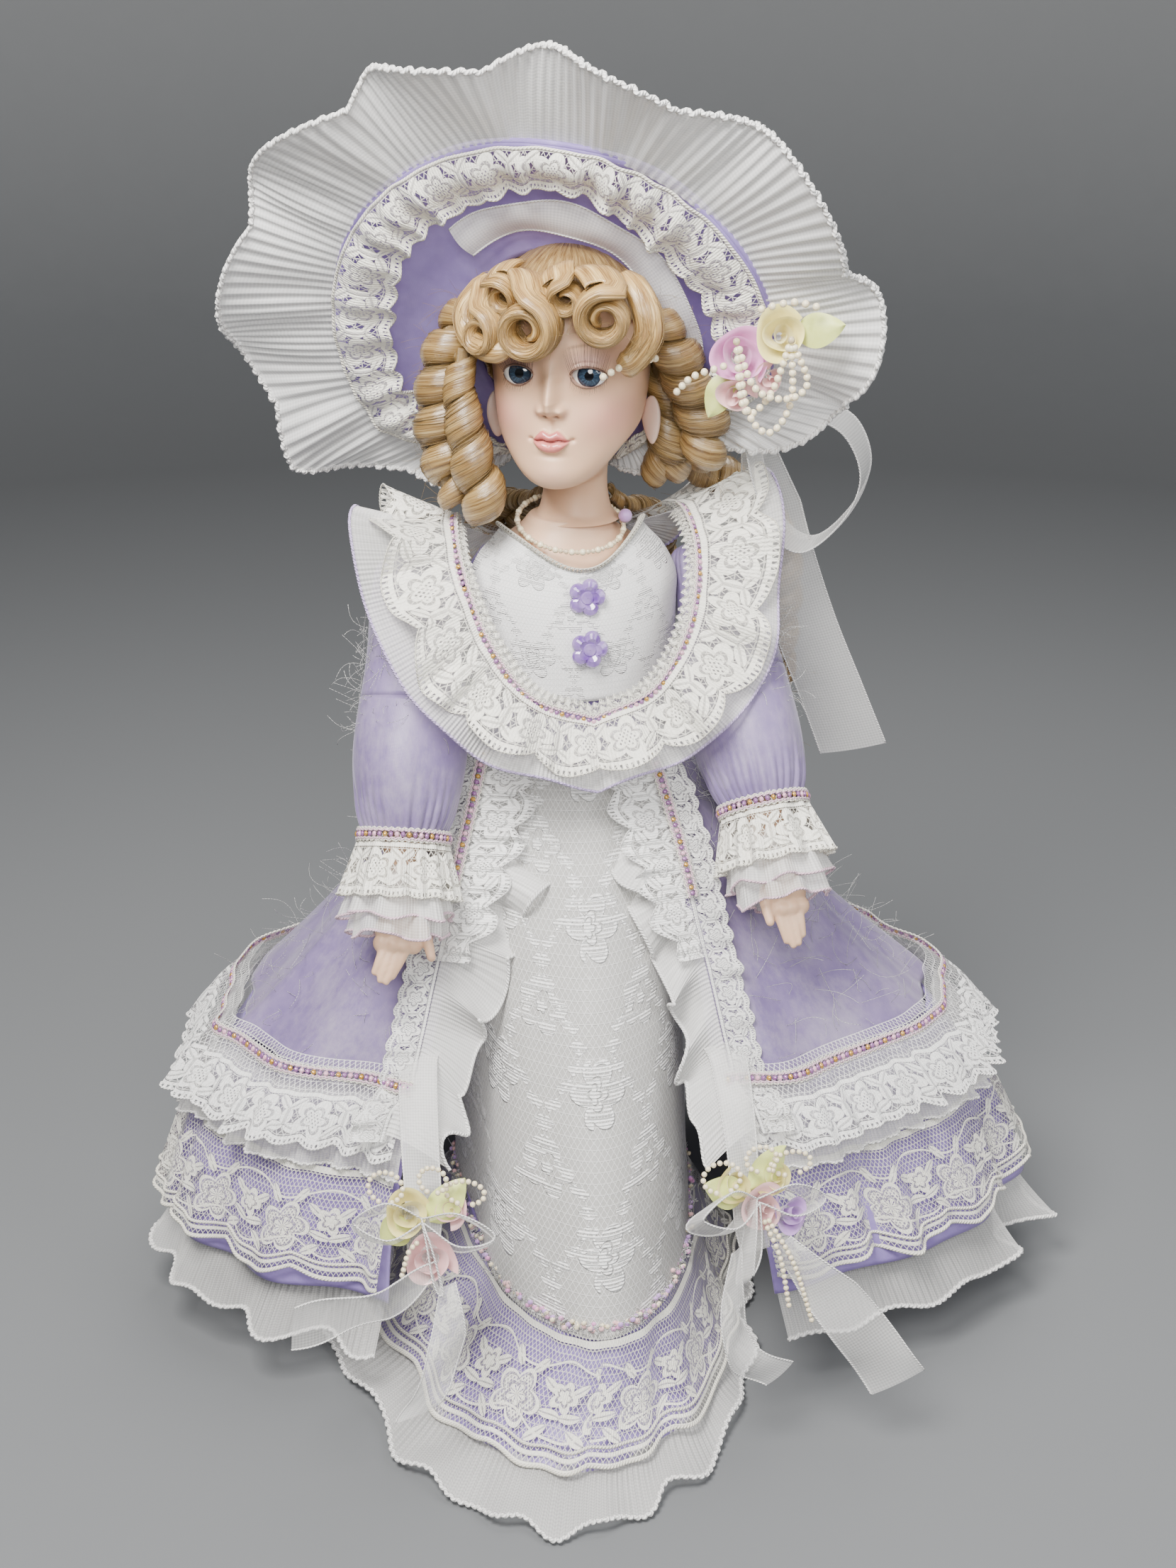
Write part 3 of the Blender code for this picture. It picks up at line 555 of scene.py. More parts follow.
@once
def lace(kind, white=0):
    """Machine lace: a fine net with flowers, leaves and vines, with UVs in metres up from its scalloped edge.

    The kinds are small for narrow trims, large for flounces, column for the underskirt and yoke."""
    tone = ((0.86, 0.855, 0.83), (0.92, 0.915, 0.90)) if white else ((0.80, 0.775, 0.68), (0.90, 0.88, 0.80))
    look = Look(f"lace_{kind}", tone[1], 0.72, Sheen_Weight=0.2, Sheen_Roughness=0.5)
    u, v, _ = look.uv()
    soft = 0.16 * MM
    dense = kind in ("column", "yoke")
    cell = {"small": 1.15, "large": 1.7, "column": 2.1, "yoke": 2.1}[kind] * MM
    a, b = (u + v * 0.6) * (math.pi / cell), (u - v * 0.6) * (math.pi / cell)
    net = a.sin().abs().within(0.20, 0.12).most(b.sin().abs().within(0.20, 0.12))
    net = net.most((v * (math.pi / (cell * 1.7))).sin().abs().within(0.10, 0.10) * 0.8)
    if kind == "small":
        fu = repeat(u, 11 * MM)
        fv = v - 5.6 * MM
        r, _ = petals(fu, fv, 4.3 * MM)
        flower = r.within(1.0, 0.06) - band(r, 0.60, 0.05, 0.05) * 0.7
        core = r.within(0.36, 0.05)
        holes = (a * 1.6).sin().abs().most((b * 1.6).sin().abs()).within(0.62, 0.1)
        flower = flower - core * holes * 0.9
        places = ((3.9, 3.3, 0.55), (4.2, 8.6, -0.7), (5.4, 5.9, 1.57))
        solid = with_leaves(flower, fu, v, places, 0.28, 0.85, 0.10, 0.5)
        solid = solid.most(band(v, 10.6 * MM, 0.42 * MM, soft))
        teeth = (u * (TAU / (0.8 * MM))).sin().within(0.15, 0.3)
        edge = (v.within(1.0 * MM, soft) * teeth).most(band(v, 1.3 * MM, 0.30 * MM, soft))
        threads = (u * (TAU / 0.00055)).sin() * 0.25
    elif kind == "large":
        fu, fv = repeat(u, 34 * MM), v - 16.5 * MM
        r, angle = petals(fu, fv, 9.5 * MM)
        flower = r.within(1.0, 0.03) - band(r, 0.80, 0.035, 0.03) * 0.8 - band(r, 0.44, 0.05, 0.03) * 0.8
        mesh = (a * 1.3).sin().abs().most((b * 1.3).sin().abs()).within(0.72, 0.1)
        flower = flower - band(r, 0.62, 0.11, 0.02) * mesh * 0.8
        rays = (angle * 5.0).math("COSINE").abs().within(0.30, 0.1)
        flower = flower - r.within(0.30, 0.05) * rays
        su, sv = repeat(u, 34 * MM, 17 * MM), v - 21 * MM
        small, _ = petals(su, sv, 5.2 * MM)
        flower = flower.most(small.within(1.0, 0.05) - band(small, 0.55, 0.06, 0.05) * 0.8)
        places = ((10.5, 9.0, 0.7), (11.5, 24.0, -0.6), (5.0, 28.5, 0.9), (13.5, 15.0, -0.2))
        solid = with_leaves(flower, fu, v, places, 0.16, 1.45, 0.13, 0.6)
        wave = (u * (TAU / (34 * MM))).math("COSINE") * (2.6 * MM)
        vine = band(v + wave, 10.0 * MM, 0.36 * MM, soft).most(band(v - wave, 30.0 * MM, 0.36 * MM, soft))
        solid = solid.most(vine)
        edge = v.within(1.0 * MM, soft).most(band(v, 3.6 * MM, 0.55 * MM, soft))
        edge = edge.most(band(v, 39.5 * MM, 1.2 * MM, soft))
        threads = (u * (TAU / 0.0008)).sin() * 0.25
    else:
        row = (v / (52 * MM)).math("FLOOR")
        fu = repeat(u, 44 * MM, 22 * MM) + (row.mod(2.0) - 0.5) * (1.0 * MM)
        fv = repeat(v, 52 * MM)
        r, _ = petals(fu, fv, 11.5 * MM, 6)
        hatch = (fv * (TAU / (1.5 * MM))).sin().within(0.35, 0.2)
        flower = band(r, 0.80, 0.22, 0.06) * hatch.most(band(r, 0.98, 0.05, 0.04))
        flower = flower.most(r.within(0.26, 0.06)).most(band(r, 0.42, 0.05, 0.05))
        su, sv = repeat(u, 44 * MM), repeat(v, 52 * MM, 26 * MM)
        small, _ = petals(su, sv, 9.0 * MM, 5)
        flower = flower.most(band(small, 0.82, 0.2, 0.06) * hatch).most(small.within(0.22, 0.05))
        bend = (v * (TAU / (52 * MM))).sin() * (6.5 * MM)
        stem = (fu - bend - 15 * MM).abs().least((fu + bend + 15 * MM).abs())
        leaves = (v * (TAU / (6.5 * MM))).sin() * (1.6 * MM) + 1.2 * MM
        vine = (stem - leaves).math("MAXIMUM", 0.0).within(0.25 * MM, soft)
        vine = vine * hatch.most(stem.within(0.4 * MM, soft))
        solid = flower.most(vine)
        edge = v.within(0.5 * MM, soft)
        threads = (v * (TAU / 0.0011)).sin() * 0.3
    solid = solid.math("MAXIMUM", 0.0).least(1.0)
    pattern = solid.most(edge)
    cover = pattern.most(net * (0.55 if dense else 0.72))
    shade = look.noise(1.0, look.joined(u * 900.0, v * 900.0), detail=2)
    look.feed("Base Color", look.colours(shade * 0.7 + pattern * 0.3, (0.25, tone[0]), (0.8, tone[1])))
    if dense:
        # The column's dark grey ground is painted shade, for the shaded inside of the underskirt seen through
        # the net. The yoke's pale ground is its own colour.
        pale = (0.40, 0.39, 0.372) if kind == "column" else (0.76, 0.755, 0.745)
        ground = look.colours(cloth_noise(look), (0.3, pale), (0.7, tuple(c + 0.08 for c in pale)))
        look.feed("Base Color", look.mix(cover, ground, tone[1]))
        glint = look.noise(1.0, look.joined(u * 700.0, v * 700.0), detail=1)
        look.feed("Roughness", glint.within(0.34, 0.05) * -0.5 + 0.68)
    else:
        look.feed("Alpha", cover)
    look.bump(pattern + threads * pattern + net * 0.4, 0.0007 if dense else 0.00035, 0.9)
    return look.material


@once
def organza(tint="white", veil=0.5):
    """Crisp sheer cloth with a pale weave."""
    tones = {"white": (0.88, 0.87, 0.85), "grey": (0.88, 0.875, 0.865)}
    look = Look(f"organza_{tint}", tones[tint], 0.42, Sheen_Weight=0.5, Sheen_Roughness=0.3,
                Specular_IOR_Level=0.6)
    u, v, _ = look.uv()
    shade = look.noise(60.0, detail=3)
    low = tuple(0.90 * c for c in tones[tint])
    look.feed("Base Color", look.colours(shade, (0.3, low), (0.7, tones[tint])))
    warp, weft = (u * (TAU / 0.0011)).sin(), (v * (TAU / 0.0009)).sin()
    weave = warp * 0.5 + weft * 0.5
    look.feed("Alpha", weave * 0.10 + veil)
    look.bump(weave, 0.00005, 0.5)
    return look.material


@once
def thread(tone="cream"):
    """Twisted cord and edging thread."""
    tones = {"cream": (0.86, 0.83, 0.72), "white": (0.88, 0.87, 0.85), "lavender": (0.55, 0.44, 0.72),
             "pink": (0.80, 0.56, 0.66)}
    look = Look(f"thread_{tone}", tones[tone], 0.6, Sheen_Weight=0.3)
    u, v, _ = look.uv()
    ply = (u * (TAU / 0.0012) + v * (TAU * 2)).sin()
    low = tuple(0.72 * c for c in tones[tone])
    look.feed("Base Color", look.colours(ply * 0.5 + 0.5, (0.1, low), (0.7, tones[tone])))
    look.bump(ply, 0.0002, 0.8)
    return look.material


def glossy(name, colour, rough, **constants):
    """A smooth hard surface with a fine grain in its colour and gloss."""
    look = Look(name, colour, rough, **constants)
    low = tuple(max(0.0, c - 0.06) for c in colour)
    grain = look.noise(400.0, detail=3)
    look.feed("Base Color", look.colours(grain, (0.3, low), (0.7, colour)))
    look.feed("Roughness", grain * 0.12 + max(0.02, rough - 0.06))
    look.bump(grain, 0.00003, 0.4)
    return look.material


@once
def plain(kind):
    """Looks that need only a grain: pearls, beads, metal, plastics and ribbon flowers."""
    table = {
        "pearl": ((0.86, 0.76, 0.54), 0.20, dict(Coat_Weight=0.6, Coat_Roughness=0.12, Subsurface_Weight=0.1,
                                                 Subsurface_Scale=0.001)),
        "clear_bead": ((0.80, 0.67, 0.46), 0.08, dict(Coat_Weight=0.8, Transmission_Weight=0.3)),
        "amber_bead": ((0.60, 0.36, 0.10), 0.18, dict(Coat_Weight=0.5, Metallic=0.45)),
        "purple_bead": ((0.32, 0.16, 0.34), 0.20, dict(Coat_Weight=0.5, Metallic=0.2)),
        "pink_bead": ((0.72, 0.42, 0.52), 0.18, dict(Coat_Weight=0.5)),
        "steel": ((0.80, 0.80, 0.79), 0.30, dict(Coat_Weight=0.3, Metallic=0.15)),
        "vinyl": ((0.86, 0.85, 0.83), 0.30, dict(Coat_Weight=0.3)),
        "card": ((0.70, 0.62, 0.50), 0.85, {}),
        "pink_rose": ((0.76, 0.34, 0.62), 0.32, dict(Sheen_Weight=0.5)),
        "pale_rose": ((0.84, 0.52, 0.52), 0.36, dict(Sheen_Weight=0.5)),
        "yellow_rose": ((0.84, 0.75, 0.30), 0.36, dict(Sheen_Weight=0.5)),
        "lilac_rose": ((0.56, 0.34, 0.70), 0.36, dict(Sheen_Weight=0.5)),
        "leaf": ((0.66, 0.72, 0.24), 0.42, dict(Sheen_Weight=0.4)),
    }
    colour, rough, constants = table[kind]
    return glossy(kind, colour, rough, **constants)


@once
def acrylic():
    look = Look("lilac_acrylic", (0.55, 0.36, 0.80), 0.05, Transmission_Weight=0.45, IOR=1.49,
                Coat_Weight=1.0, Coat_Roughness=0.03)
    depth = look.noise(240.0, detail=2)
    look.feed("Base Color", look.colours(depth, (0.3, (0.24, 0.10, 0.50)), (0.7, (0.60, 0.42, 0.84))))
    return look.material


@once
def cotton():
    look = Look("white_cotton", (0.80, 0.79, 0.76), 0.85, Sheen_Weight=0.2)
    x, y, z = look.split(look.place())
    weave = ((x + y) * (TAU / 0.0006)).sin() * 0.5 + (z * (TAU / 0.0006)).sin() * 0.5
    look.feed("Base Color", look.colours(look.noise(80.0), (0.3, (0.74, 0.73, 0.70)),
                                         (0.7, (0.84, 0.83, 0.80))))
    look.bump(weave, 0.00012, 0.6)
    return look.material


# ---- the head ------------------------------------------------------------------------------------
HEAD_SHIFT = np.array((0.0027, 0.0, 0.0))   # the sculpted head sits this much to the doll's left on its neck
EYE_CENTRE = np.array((10.8, -27.1, 355.8)) * MM
EYE_RADIUS, LID_X, EYE_WIDE, EYE_LIFT, EYE_DROP = 7.0 * MM, 11.6, 5.5 * MM, 3.3 * MM, 3.4 * MM
# Height at the front, half width, middle, depth in front and behind, and how much the ring rises to the back.
HEAD_RINGS = [(300.8, 15.4, 0, 15.4, 15.4, 0), (302.0, 13.9, 0, 13.9, 13.9, 0),
              (304.0, 12.5, 0, 12.5, 12.5, 0), (308, 11.4, 0, 11.5, 11.7, 0),
              (312, 10.9, 0, 11.2, 11.8, 0.05), (315.2, 11.1, -0.6, 12.0, 12.6, 0.22),
              (316.9, 12.6, -5.0, 17.0, 16.0, 0.33), (317.7, 14.0, -8.6, 21.5, 19.0, 0.36),
              (318.6, 15.7, -10.0, 23.9, 21.5, 0.36), (320.6, 17.6, -10.2, 25.9, 23.8, 0.34),
              (324.0, 19.8, -9.6, 27.4, 26.4, 0.28), (329.0, 22.0, -8.5, 28.3, 29.0, 0.20),
              (335.5, 23.8, -7.0, 29.3, 31.0, 0.10), (343.0, 25.0, -5.8, 30.5, 32.2, 0.03),
              (350.0, 25.8, -5.0, 31.2, 32.8, 0), (358.0, 26.3, -5.0, 31.9, 33.0, 0),
              (366.0, 26.3, -5.0, 32.2, 33.0, 0), (374.0, 25.0, -5.0, 30.8, 31.8, 0),
              (381.0, 21.8, -5.0, 27.0, 28.0, 0), (386.5, 16.2, -5.0, 20.3, 21.0, 0),
              (390.0, 8.5, -5.0, 10.6, 11.0, 0), (391.2, 0.3, -5.0, 0.3, 0.3, 0)]


def on_head(points):
    return turn(points, HEAD_TURN) + HEAD_SHIFT


def bell(x, z, at_x, at_z, wide, tall):
    """A smooth bump of height 1, in millimetres."""
    return np.exp(-((x - at_x) / wide) ** 2 - ((z - at_z) / tall) ** 2)


def eye_edges(x):
    """The edges of an eye's opening, lower then upper, and how far inside its corners, for |x| in mm."""
    t = (x - LID_X) / (EYE_WIDE / MM)
    inside = np.clip(1 - t * t, 0, 1)
    middle = EYE_CENTRE[2] / MM - 0.45 * t
    return middle - EYE_DROP / MM * inside**0.60, middle + EYE_LIFT / MM * inside**0.52, inside


def lip_edges(x):
    """The lower and upper outline of the lips, and the line between them, for |x| in millimetres."""
    low = np.interp(x, (0, 1.5, 3.0, 4.4, 5.5, 6.2), (331.5, 331.55, 332.1, 333.2, 334.4, 335.3))
    top = np.interp(x, (0, 1.0, 2.3, 3.2, 4.4, 5.5, 6.2), (337.75, 338.1, 338.75, 338.45, 337.2, 335.9,
                                                           335.3))
    line = np.interp(x, (0, 1.2, 2.6, 4.6, 6.2, 7.6), (335.0, 335.15, 335.5, 335.2, 335.3, 335.8))
    return low, top, line


def face_relief(x, z):
    """How far the face stands out from the egg of the head, in millimetres, at |x| and z in millimetres."""
    ridge = np.interp(z, (339.5, 341.8, 342.9, 344.0, 345.5, 348.0, 350.2, 353, 357, 362, 368),
                      (0, 0.2, 1.2, 3.8, 6.1, 7.1, 6.3, 4.6, 2.6, 1.1, 0))
    wide = np.interp(z, (342, 348, 354, 362), (2.9, 2.55, 2.3, 4.0))
    out = ridge * np.exp(-(x / wide) ** 2)
    out += 2.7 * bell(x, z, 3.7, 345.1, 1.45, 1.6) - 1.5 * bell(x, z, 1.9, 343.2, 0.85, 0.55)
    out += 1.5 * bell(x, z, 0, 335.8, 8.0, 6.0) - 0.45 * bell(x, z, 0, 340.6, 0.9, 1.7)
    low, top, line = lip_edges(x)
    upper, lower = (z - line) / (top - line + 0.4), (line - z) / (line - low + 0.4)
    fade = np.clip((6.6 - x) / 2.4, 0, 1)
    out += 1.55 * fade * np.where((upper > 0) & (upper < 1), np.sin(np.pi * np.clip(upper, 0, 1)) ** 0.7, 0)
    out += 1.85 * fade * np.where((lower > 0) & (lower < 1), np.sin(np.pi * np.clip(lower, 0, 1)) ** 0.7, 0)
    out += 0.35 * bell(x, z, 0, 336.4, 1.4, 1.0) - 0.30 * bell(x, z, 0, 333.4, 0.7, 1.6)
    out -= 0.75 * np.exp(-((z - line) / 0.35) ** 2) * np.clip((7.6 - x) / 1.2, 0, 1)
    out -= 0.9 * bell(x, z, 6.9, 335.4, 0.9, 0.8) + 0.7 * bell(x, z, 0, 330.2, 4.0, 1.1)
    out += 1.1 * bell(x, z, 0, 324.8, 5.5, 4.0) + 1.3 * bell(x, z, 14.0, 341, 8.0, 7.0)
    out -= 0.9 * bell(x, z, 11.6, 356, 8.5, 6.5) + 1.3 * bell(x, z, 4.9, 356.6, 2.4, 4.0)
    out += 2.8 * bell(x, z, 12.6, 355.8, 7.0, 5.0) + 0.5 * bell(x, z, 11.5, 365, 8.0, 3.0)
    _, top, inside = eye_edges(x)
    crease = np.exp(-((z - top - 1.5) / 0.32) ** 2)
    out -= 0.38 * crease * np.clip(inside * 2, 0, 1)
    return out + 0.8 * bell(x, z, 0, 372, 14, 8)


def face_colours(x, z, front):
    """China paint and painted shade at each point: red, green, blue, and 1 less its gloss."""
    skin = np.array((0.72, 0.455, 0.29))
    colour = np.ones(x.shape + (4,)) * (*skin, 0.72)

    def lay(amount, tone, dull=None):
        amount = np.clip(amount, 0, 1)[..., None] * front[..., None]
        colour[..., :3] += (np.array(tone) - colour[..., :3]) * amount
        if dull is not None:
            colour[..., 3:] += (dull - colour[..., 3:]) * amount

    lay(0.62 * bell(x, z, 17.5, 341.5, 8.0, 7.5), (0.66, 0.29, 0.25))
    lay(0.35 * bell(x, z, 0, 324, 5, 3), (0.70, 0.42, 0.33))
    lay(0.48 * bell(x, z, 12.5, 361.0, 7.5, 3.4), (0.50, 0.30, 0.33))
    # Painted shade in the hollow between the eye and the bridge of the nose.
    lay(0.30 * bell(x, z, 5.6, 356.2, 1.6, 3.2), (0.55, 0.36, 0.32))
    low, top, _ = eye_edges(x)
    near = np.minimum(np.abs(z - low), np.abs(z - top)) + np.clip(x - 17.3, 0, 9) + np.clip(5.9 - x, 0, 9)
    lay(0.75 * np.exp(-(near / 0.42) ** 2), (0.30, 0.17, 0.12))
    # Painted shade on the sunken walls inside each eye opening.
    inside = np.clip((z - low) / 0.2, 0, 1) * np.clip((top - z) / 0.2, 0, 1)
    lay(inside * (np.abs(x - 11.6) < 5.3), (0.30, 0.18, 0.14))
    brow = np.exp(-((z - 366.2 + 0.020 * (x - 12) ** 2) / 0.55) ** 2) * np.clip((19 - x) / 3, 0, 1)
    lay(0.55 * brow * np.clip((x - 5) / 2, 0, 1), (0.24, 0.14, 0.08))
    low, top, line = lip_edges(x)
    edge = np.clip((z - low) / 0.25 + 0.5, 0, 1) * np.clip((top - z) / 0.25 + 0.5, 0, 1) * (x < 6.3)
    shade = np.clip((z - line) / 1.2, 0, 1)
    lay(edge, (0.66, 0.21, 0.18), 0.06)
    lay(edge * shade * 0.45, (0.50, 0.12, 0.12), 0.06)
    lay(0.85 * np.exp(-((z - line) / 0.22) ** 2) * (x < 6.4), (0.30, 0.07, 0.07))
    # Painted shade in the dents at the corners of the mouth, past the lips.
    lay(0.45 * np.exp(-((z - line) / 0.35) ** 2) * np.clip((8.0 - x) / 1.6, 0, 1) * (x > 6.0),
        (0.50, 0.30, 0.26))
    # Painted shade in the nostrils and in the crease beside each nostril wing.
    lay(0.80 * bell(x, z, 1.9, 343.1, 0.85, 0.5), (0.30, 0.15, 0.12))
    lay(0.30 * bell(x, z, 4.9, 344.0, 0.8, 1.6), (0.55, 0.33, 0.28))
    return colour


def ear_part(side):
    """An ear: a bent leaf of porcelain with a rolled rim round a hollow."""
    a = np.linspace(0, TAU, 40, endpoint=False)
    b = np.linspace(0.02, math.pi - 0.02, 26)
    around, polar = np.meshgrid(a, b)
    y, z, x = np.sin(polar) * np.cos(around), np.sin(polar) * np.sin(around), np.cos(polar)
    r = np.sin(polar)
    hollow = np.where(x > 0, np.exp(-((r - 0.15) / 0.42) ** 2) * 1.5
                      - 0.5 * np.exp(-((r - 0.80) / 0.14) ** 2), 0)
    wide = 4.7 - 1.5 * np.clip(-z, 0, 1)
    points = np.stack([1.5 * x - hollow, wide * y, 8.2 * z], -1) * MM
    points = turn(points, math.radians(48))
    points[..., 0] += 26.2 * MM + np.abs(points[..., 2]) * 0.06
    points += np.array((0.0, -1.0, 335.6)) * MM
    points[..., 0] *= side
    grid = points if side > 0 else points[:, ::-1]
    return grid_part(on_head(grid), True)


def head():
    rings = spline(np.array(HEAD_RINGS) * (MM, MM, MM, MM, MM, 1), 900)
    at = lengths(np.stack([rings[:, 2] - rings[:, 3], rings[:, 0]], -1))
    face = (rings[:, 0] > 0.3185) & (rings[:, 0] < 0.368)
    spread = np.cumsum(np.gradient(at) * np.where(face, 2.2, 0.8))
    rows, cols = 250, 240
    want = np.linspace(spread[0], spread[-1], rows)
    rings = np.stack([np.interp(want, spread, rings[:, k]) for k in range(6)], -1)
    t = np.linspace(-math.pi, math.pi, cols, endpoint=False)
    angle = t - 0.6 * np.sin(t)
    z0, half, middle, front, back, rise = (c[:, None] for c in rings.T)
    c, s = np.cos(angle)[None], np.sin(angle)[None]
    x = half * s
    y = middle - np.where(c > 0, front, back) * c
    z = z0 + rise * (y - (middle - front)) * np.clip((0.345 - z0) / 0.02, 0, 1)
    facing = np.clip((c - 0.05) / 0.35, 0, 1) * np.clip((z0 - 0.3165) / 0.003, 0, 1)
    away, up = np.abs(x) / MM, z / MM
    y -= face_relief(away, up) * MM * facing
    low, top, inside = eye_edges(away)
    window = (inside > 0.02) & (facing > 0.5)
    for edge in (low, top):
        close = window & (np.abs(up - edge) < 0.13)
        z = np.where(close, edge * MM, z)
    up = z / MM
    depth = np.minimum(up - low, top - up)
    sunk = np.clip(depth / 0.35, 0, 1) * window
    y += 4.6 * MM * sunk
    points = np.stack([x, y, z], -1)
    obj = make("face", [grid_part(on_head(points), True), ear_part(1), ear_part(-1)], look=painted_bisque())
    tones = face_colours(away, up, facing).reshape(-1, 4)
    ears = np.ones((len(obj.data.vertices) - len(tones), 4)) * (0.78, 0.57, 0.48, 0.72)
    paint_and_shade_layer = obj.data.color_attributes.new("china_paint_and_painted_shade", "FLOAT_COLOR", "POINT")
    paint_and_shade_layer.data.foreach_set("color", np.concatenate([tones, ears]).astype(np.float32).ravel())
    own(obj, "head", "bisque_porcelain", "head")
    for side, name in ((-1, "right"), (1, "left")):
        eye(side, name)


def own(obj, body, slot, *nodes):
    """The piece rides on a body and stands for CAD nodes, which it hides. slot is not used."""
    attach(obj, body)
    if nodes:
        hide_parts(*nodes)
    return obj


def eye(side, name):
    part = ball_part((0, 0, 0), EYE_RADIUS, 48, 32)
    ball = make(f"{name}_glass_eye", [part], look=eye_glass())
    centre = EYE_CENTRE * (side, 1, 1)
    ball.location = on_head(centre)
    ball.rotation_euler = (math.radians(-3), 0, HEAD_TURN + math.radians(4 + 6 * side))
    own(ball, "head", "blue_glass", f"{name}_eye")

    rng = np.random.default_rng(11 + side)
    x = np.linspace(-1, 1, 40) * (EYE_WIDE / MM) * 0.985 + LID_X
    low, top, _ = eye_edges(x)

    def lid(z, out):
        relief = face_relief(x, z)
        t = np.clip((z - 350) / 8, 0, 1)
        half, front = 25.8 + 0.5 * t, 31.2 + 0.7 * t
        y = -5.0 - front * np.sqrt(1 - (x / half) ** 2) - relief - out
        return np.stack([side * x, y, z], -1) * MM

    upper, lower = lid(top, 0.12), lid(low, 0.05)
    rims = [tube_part(on_head(upper), 0.34 * MM, 6), tube_part(on_head(lower), 0.24 * MM, 6)]
    own(make(f"{name}_eye_rims", rims, look=lid_paint()), "head", "bisque_porcelain")
    hairs = []
    for i in range(44):
        t = (i + rng.uniform(0.1, 0.9)) / 44
        at = np.array([np.interp(t * 39, range(40), upper[:, k]) for k in range(3)])
        fan = (t - 0.42) * 1.1 * side + rng.normal(0, 0.07)
        size = (6.4 + 2.4 * math.sin(math.pi * min(1, t * 1.1)) + rng.normal(0, 0.5)) * MM
        s = np.linspace(0, 1, 7)[:, None]
        forward = np.array((0.25 * fan, -0.62, 0.15))
        upward = np.array((0.55 * fan, -0.10, 1.0))
        line = at + size * (forward * (s - 0.45 * s * s) + upward * s**1.7 * 0.92)
        hairs.append(tube_part(on_head(line), 0.060 * MM * (1 - 0.75 * s[:, 0]), 4))
    for i in range(26):
        t = (i + rng.uniform(0.2, 0.8)) / 26
        at = np.array([np.interp(t * 39, range(40), lower[:, k]) for k in range(3)])
        s = np.linspace(0, 1, 4)[:, None]
        drop = np.array((0.30 * (t - 0.4) * side + rng.normal(0, 0.05), -0.38, -1.0))
        line = at + (1.9 + rng.uniform(0, 0.9)) * MM * (drop * s + np.array((0, -0.3, 0.15)) * s * s)
        hairs.append(tube_part(on_head(line), 0.045 * MM * (1 - 0.7 * s[:, 0]), 4))
    own(make(f"{name}_lashes", hairs, look=lash()), "head", "bisque_porcelain")


@once
def lid_paint():
    look = Look("lid_paint", (0.16, 0.09, 0.07), 0.35)
    look.feed("Base Color", look.colours(look.noise(700.0), (0.3, (0.10, 0.055, 0.045)),
                                         (0.7, (0.24, 0.14, 0.10))))
    return look.material


# ---- the hair ------------------------------------------------------------------------------------
def lock_part(line, out, wide, thick, strands, sides):
    """A lock of hair swept along a line, its flat side facing out, with narrowed ends.

    wide and thick are its half width and half thickness."""
    n = len(line)
    t = unit(np.gradient(line, axis=0))
    out = unit(out - t * np.sum(out * t, -1, keepdims=True))
    over = np.cross(t, out)
    s = np.linspace(0, 1, n)
    taper = np.clip(np.minimum(s / 0.10, (1 - s) / 0.12), 0, 1) ** 0.6 * 0.75 + 0.25
    taper[0] = taper[-1] = 0.02
    wide, thick = np.broadcast_to(wide, n) * taper, np.broadcast_to(thick, n) * taper
    psi = np.linspace(0, TAU, sides, endpoint=False)
    drift = 0.6 * np.sin(s * 9)[:, None]
    groove = (1 - 0.055 * np.abs(np.sin(strands * psi[None] / 2 + drift))
              + 0.03 * np.sin(3 * psi + 5 * s[:, None]))
    grid = (line[:, None] + over[:, None] * (wide[:, None] * np.cos(psi)[None] * groove)[..., None]
            + out[:, None] * (thick[:, None] * np.sin(psi)[None] * groove)[..., None])
    u = np.broadcast_to(lengths(line)[:, None], (n, sides + 1))
    v = np.broadcast_to(np.linspace(0, 1, sides + 1)[None] * 4 * wide.max(), (n, sides + 1))
    return grid_part(grid, True, np.stack([u, v], -1))


def strand_parts(line, out, wide, thick, count, rng):
    """Single hairs lying on a lock, drifting round it."""
    t = unit(np.gradient(line, axis=0))
    out = unit(out - t * np.sum(out * t, -1, keepdims=True))
    over = np.cross(t, out)
    s = np.linspace(0, 1, len(line))
    wide, thick = (np.broadcast_to(w, len(line)) * (0.35 + 0.65 * np.sin(math.pi * s) ** 0.4)
                   for w in (wide, thick))
    parts = []
    for _ in range(count):
        psi = rng.uniform(0, TAU) + 0.35 * np.sin(s * rng.uniform(4, 11) + rng.uniform(0, TAU))
        high = 1.0 + rng.uniform(-0.03, 0.10) + 0.05 * np.sin(s * rng.uniform(5, 15))
        a, b = (int(v * len(line)) for v in sorted(rng.uniform(0, 1, 2) * (0.35, 0.35) + (0, 0.65)))
        pts = line + over * (wide * np.cos(psi) * high)[:, None] + out * (thick * np.sin(psi) * high)[:, None]
        if b - a > 6:
            verts, faces, uv = tube_part(pts[a:b], 0.00011, 3)
            parts.append((verts, faces, uv + rng.uniform(1, 9, 2)))
    return parts


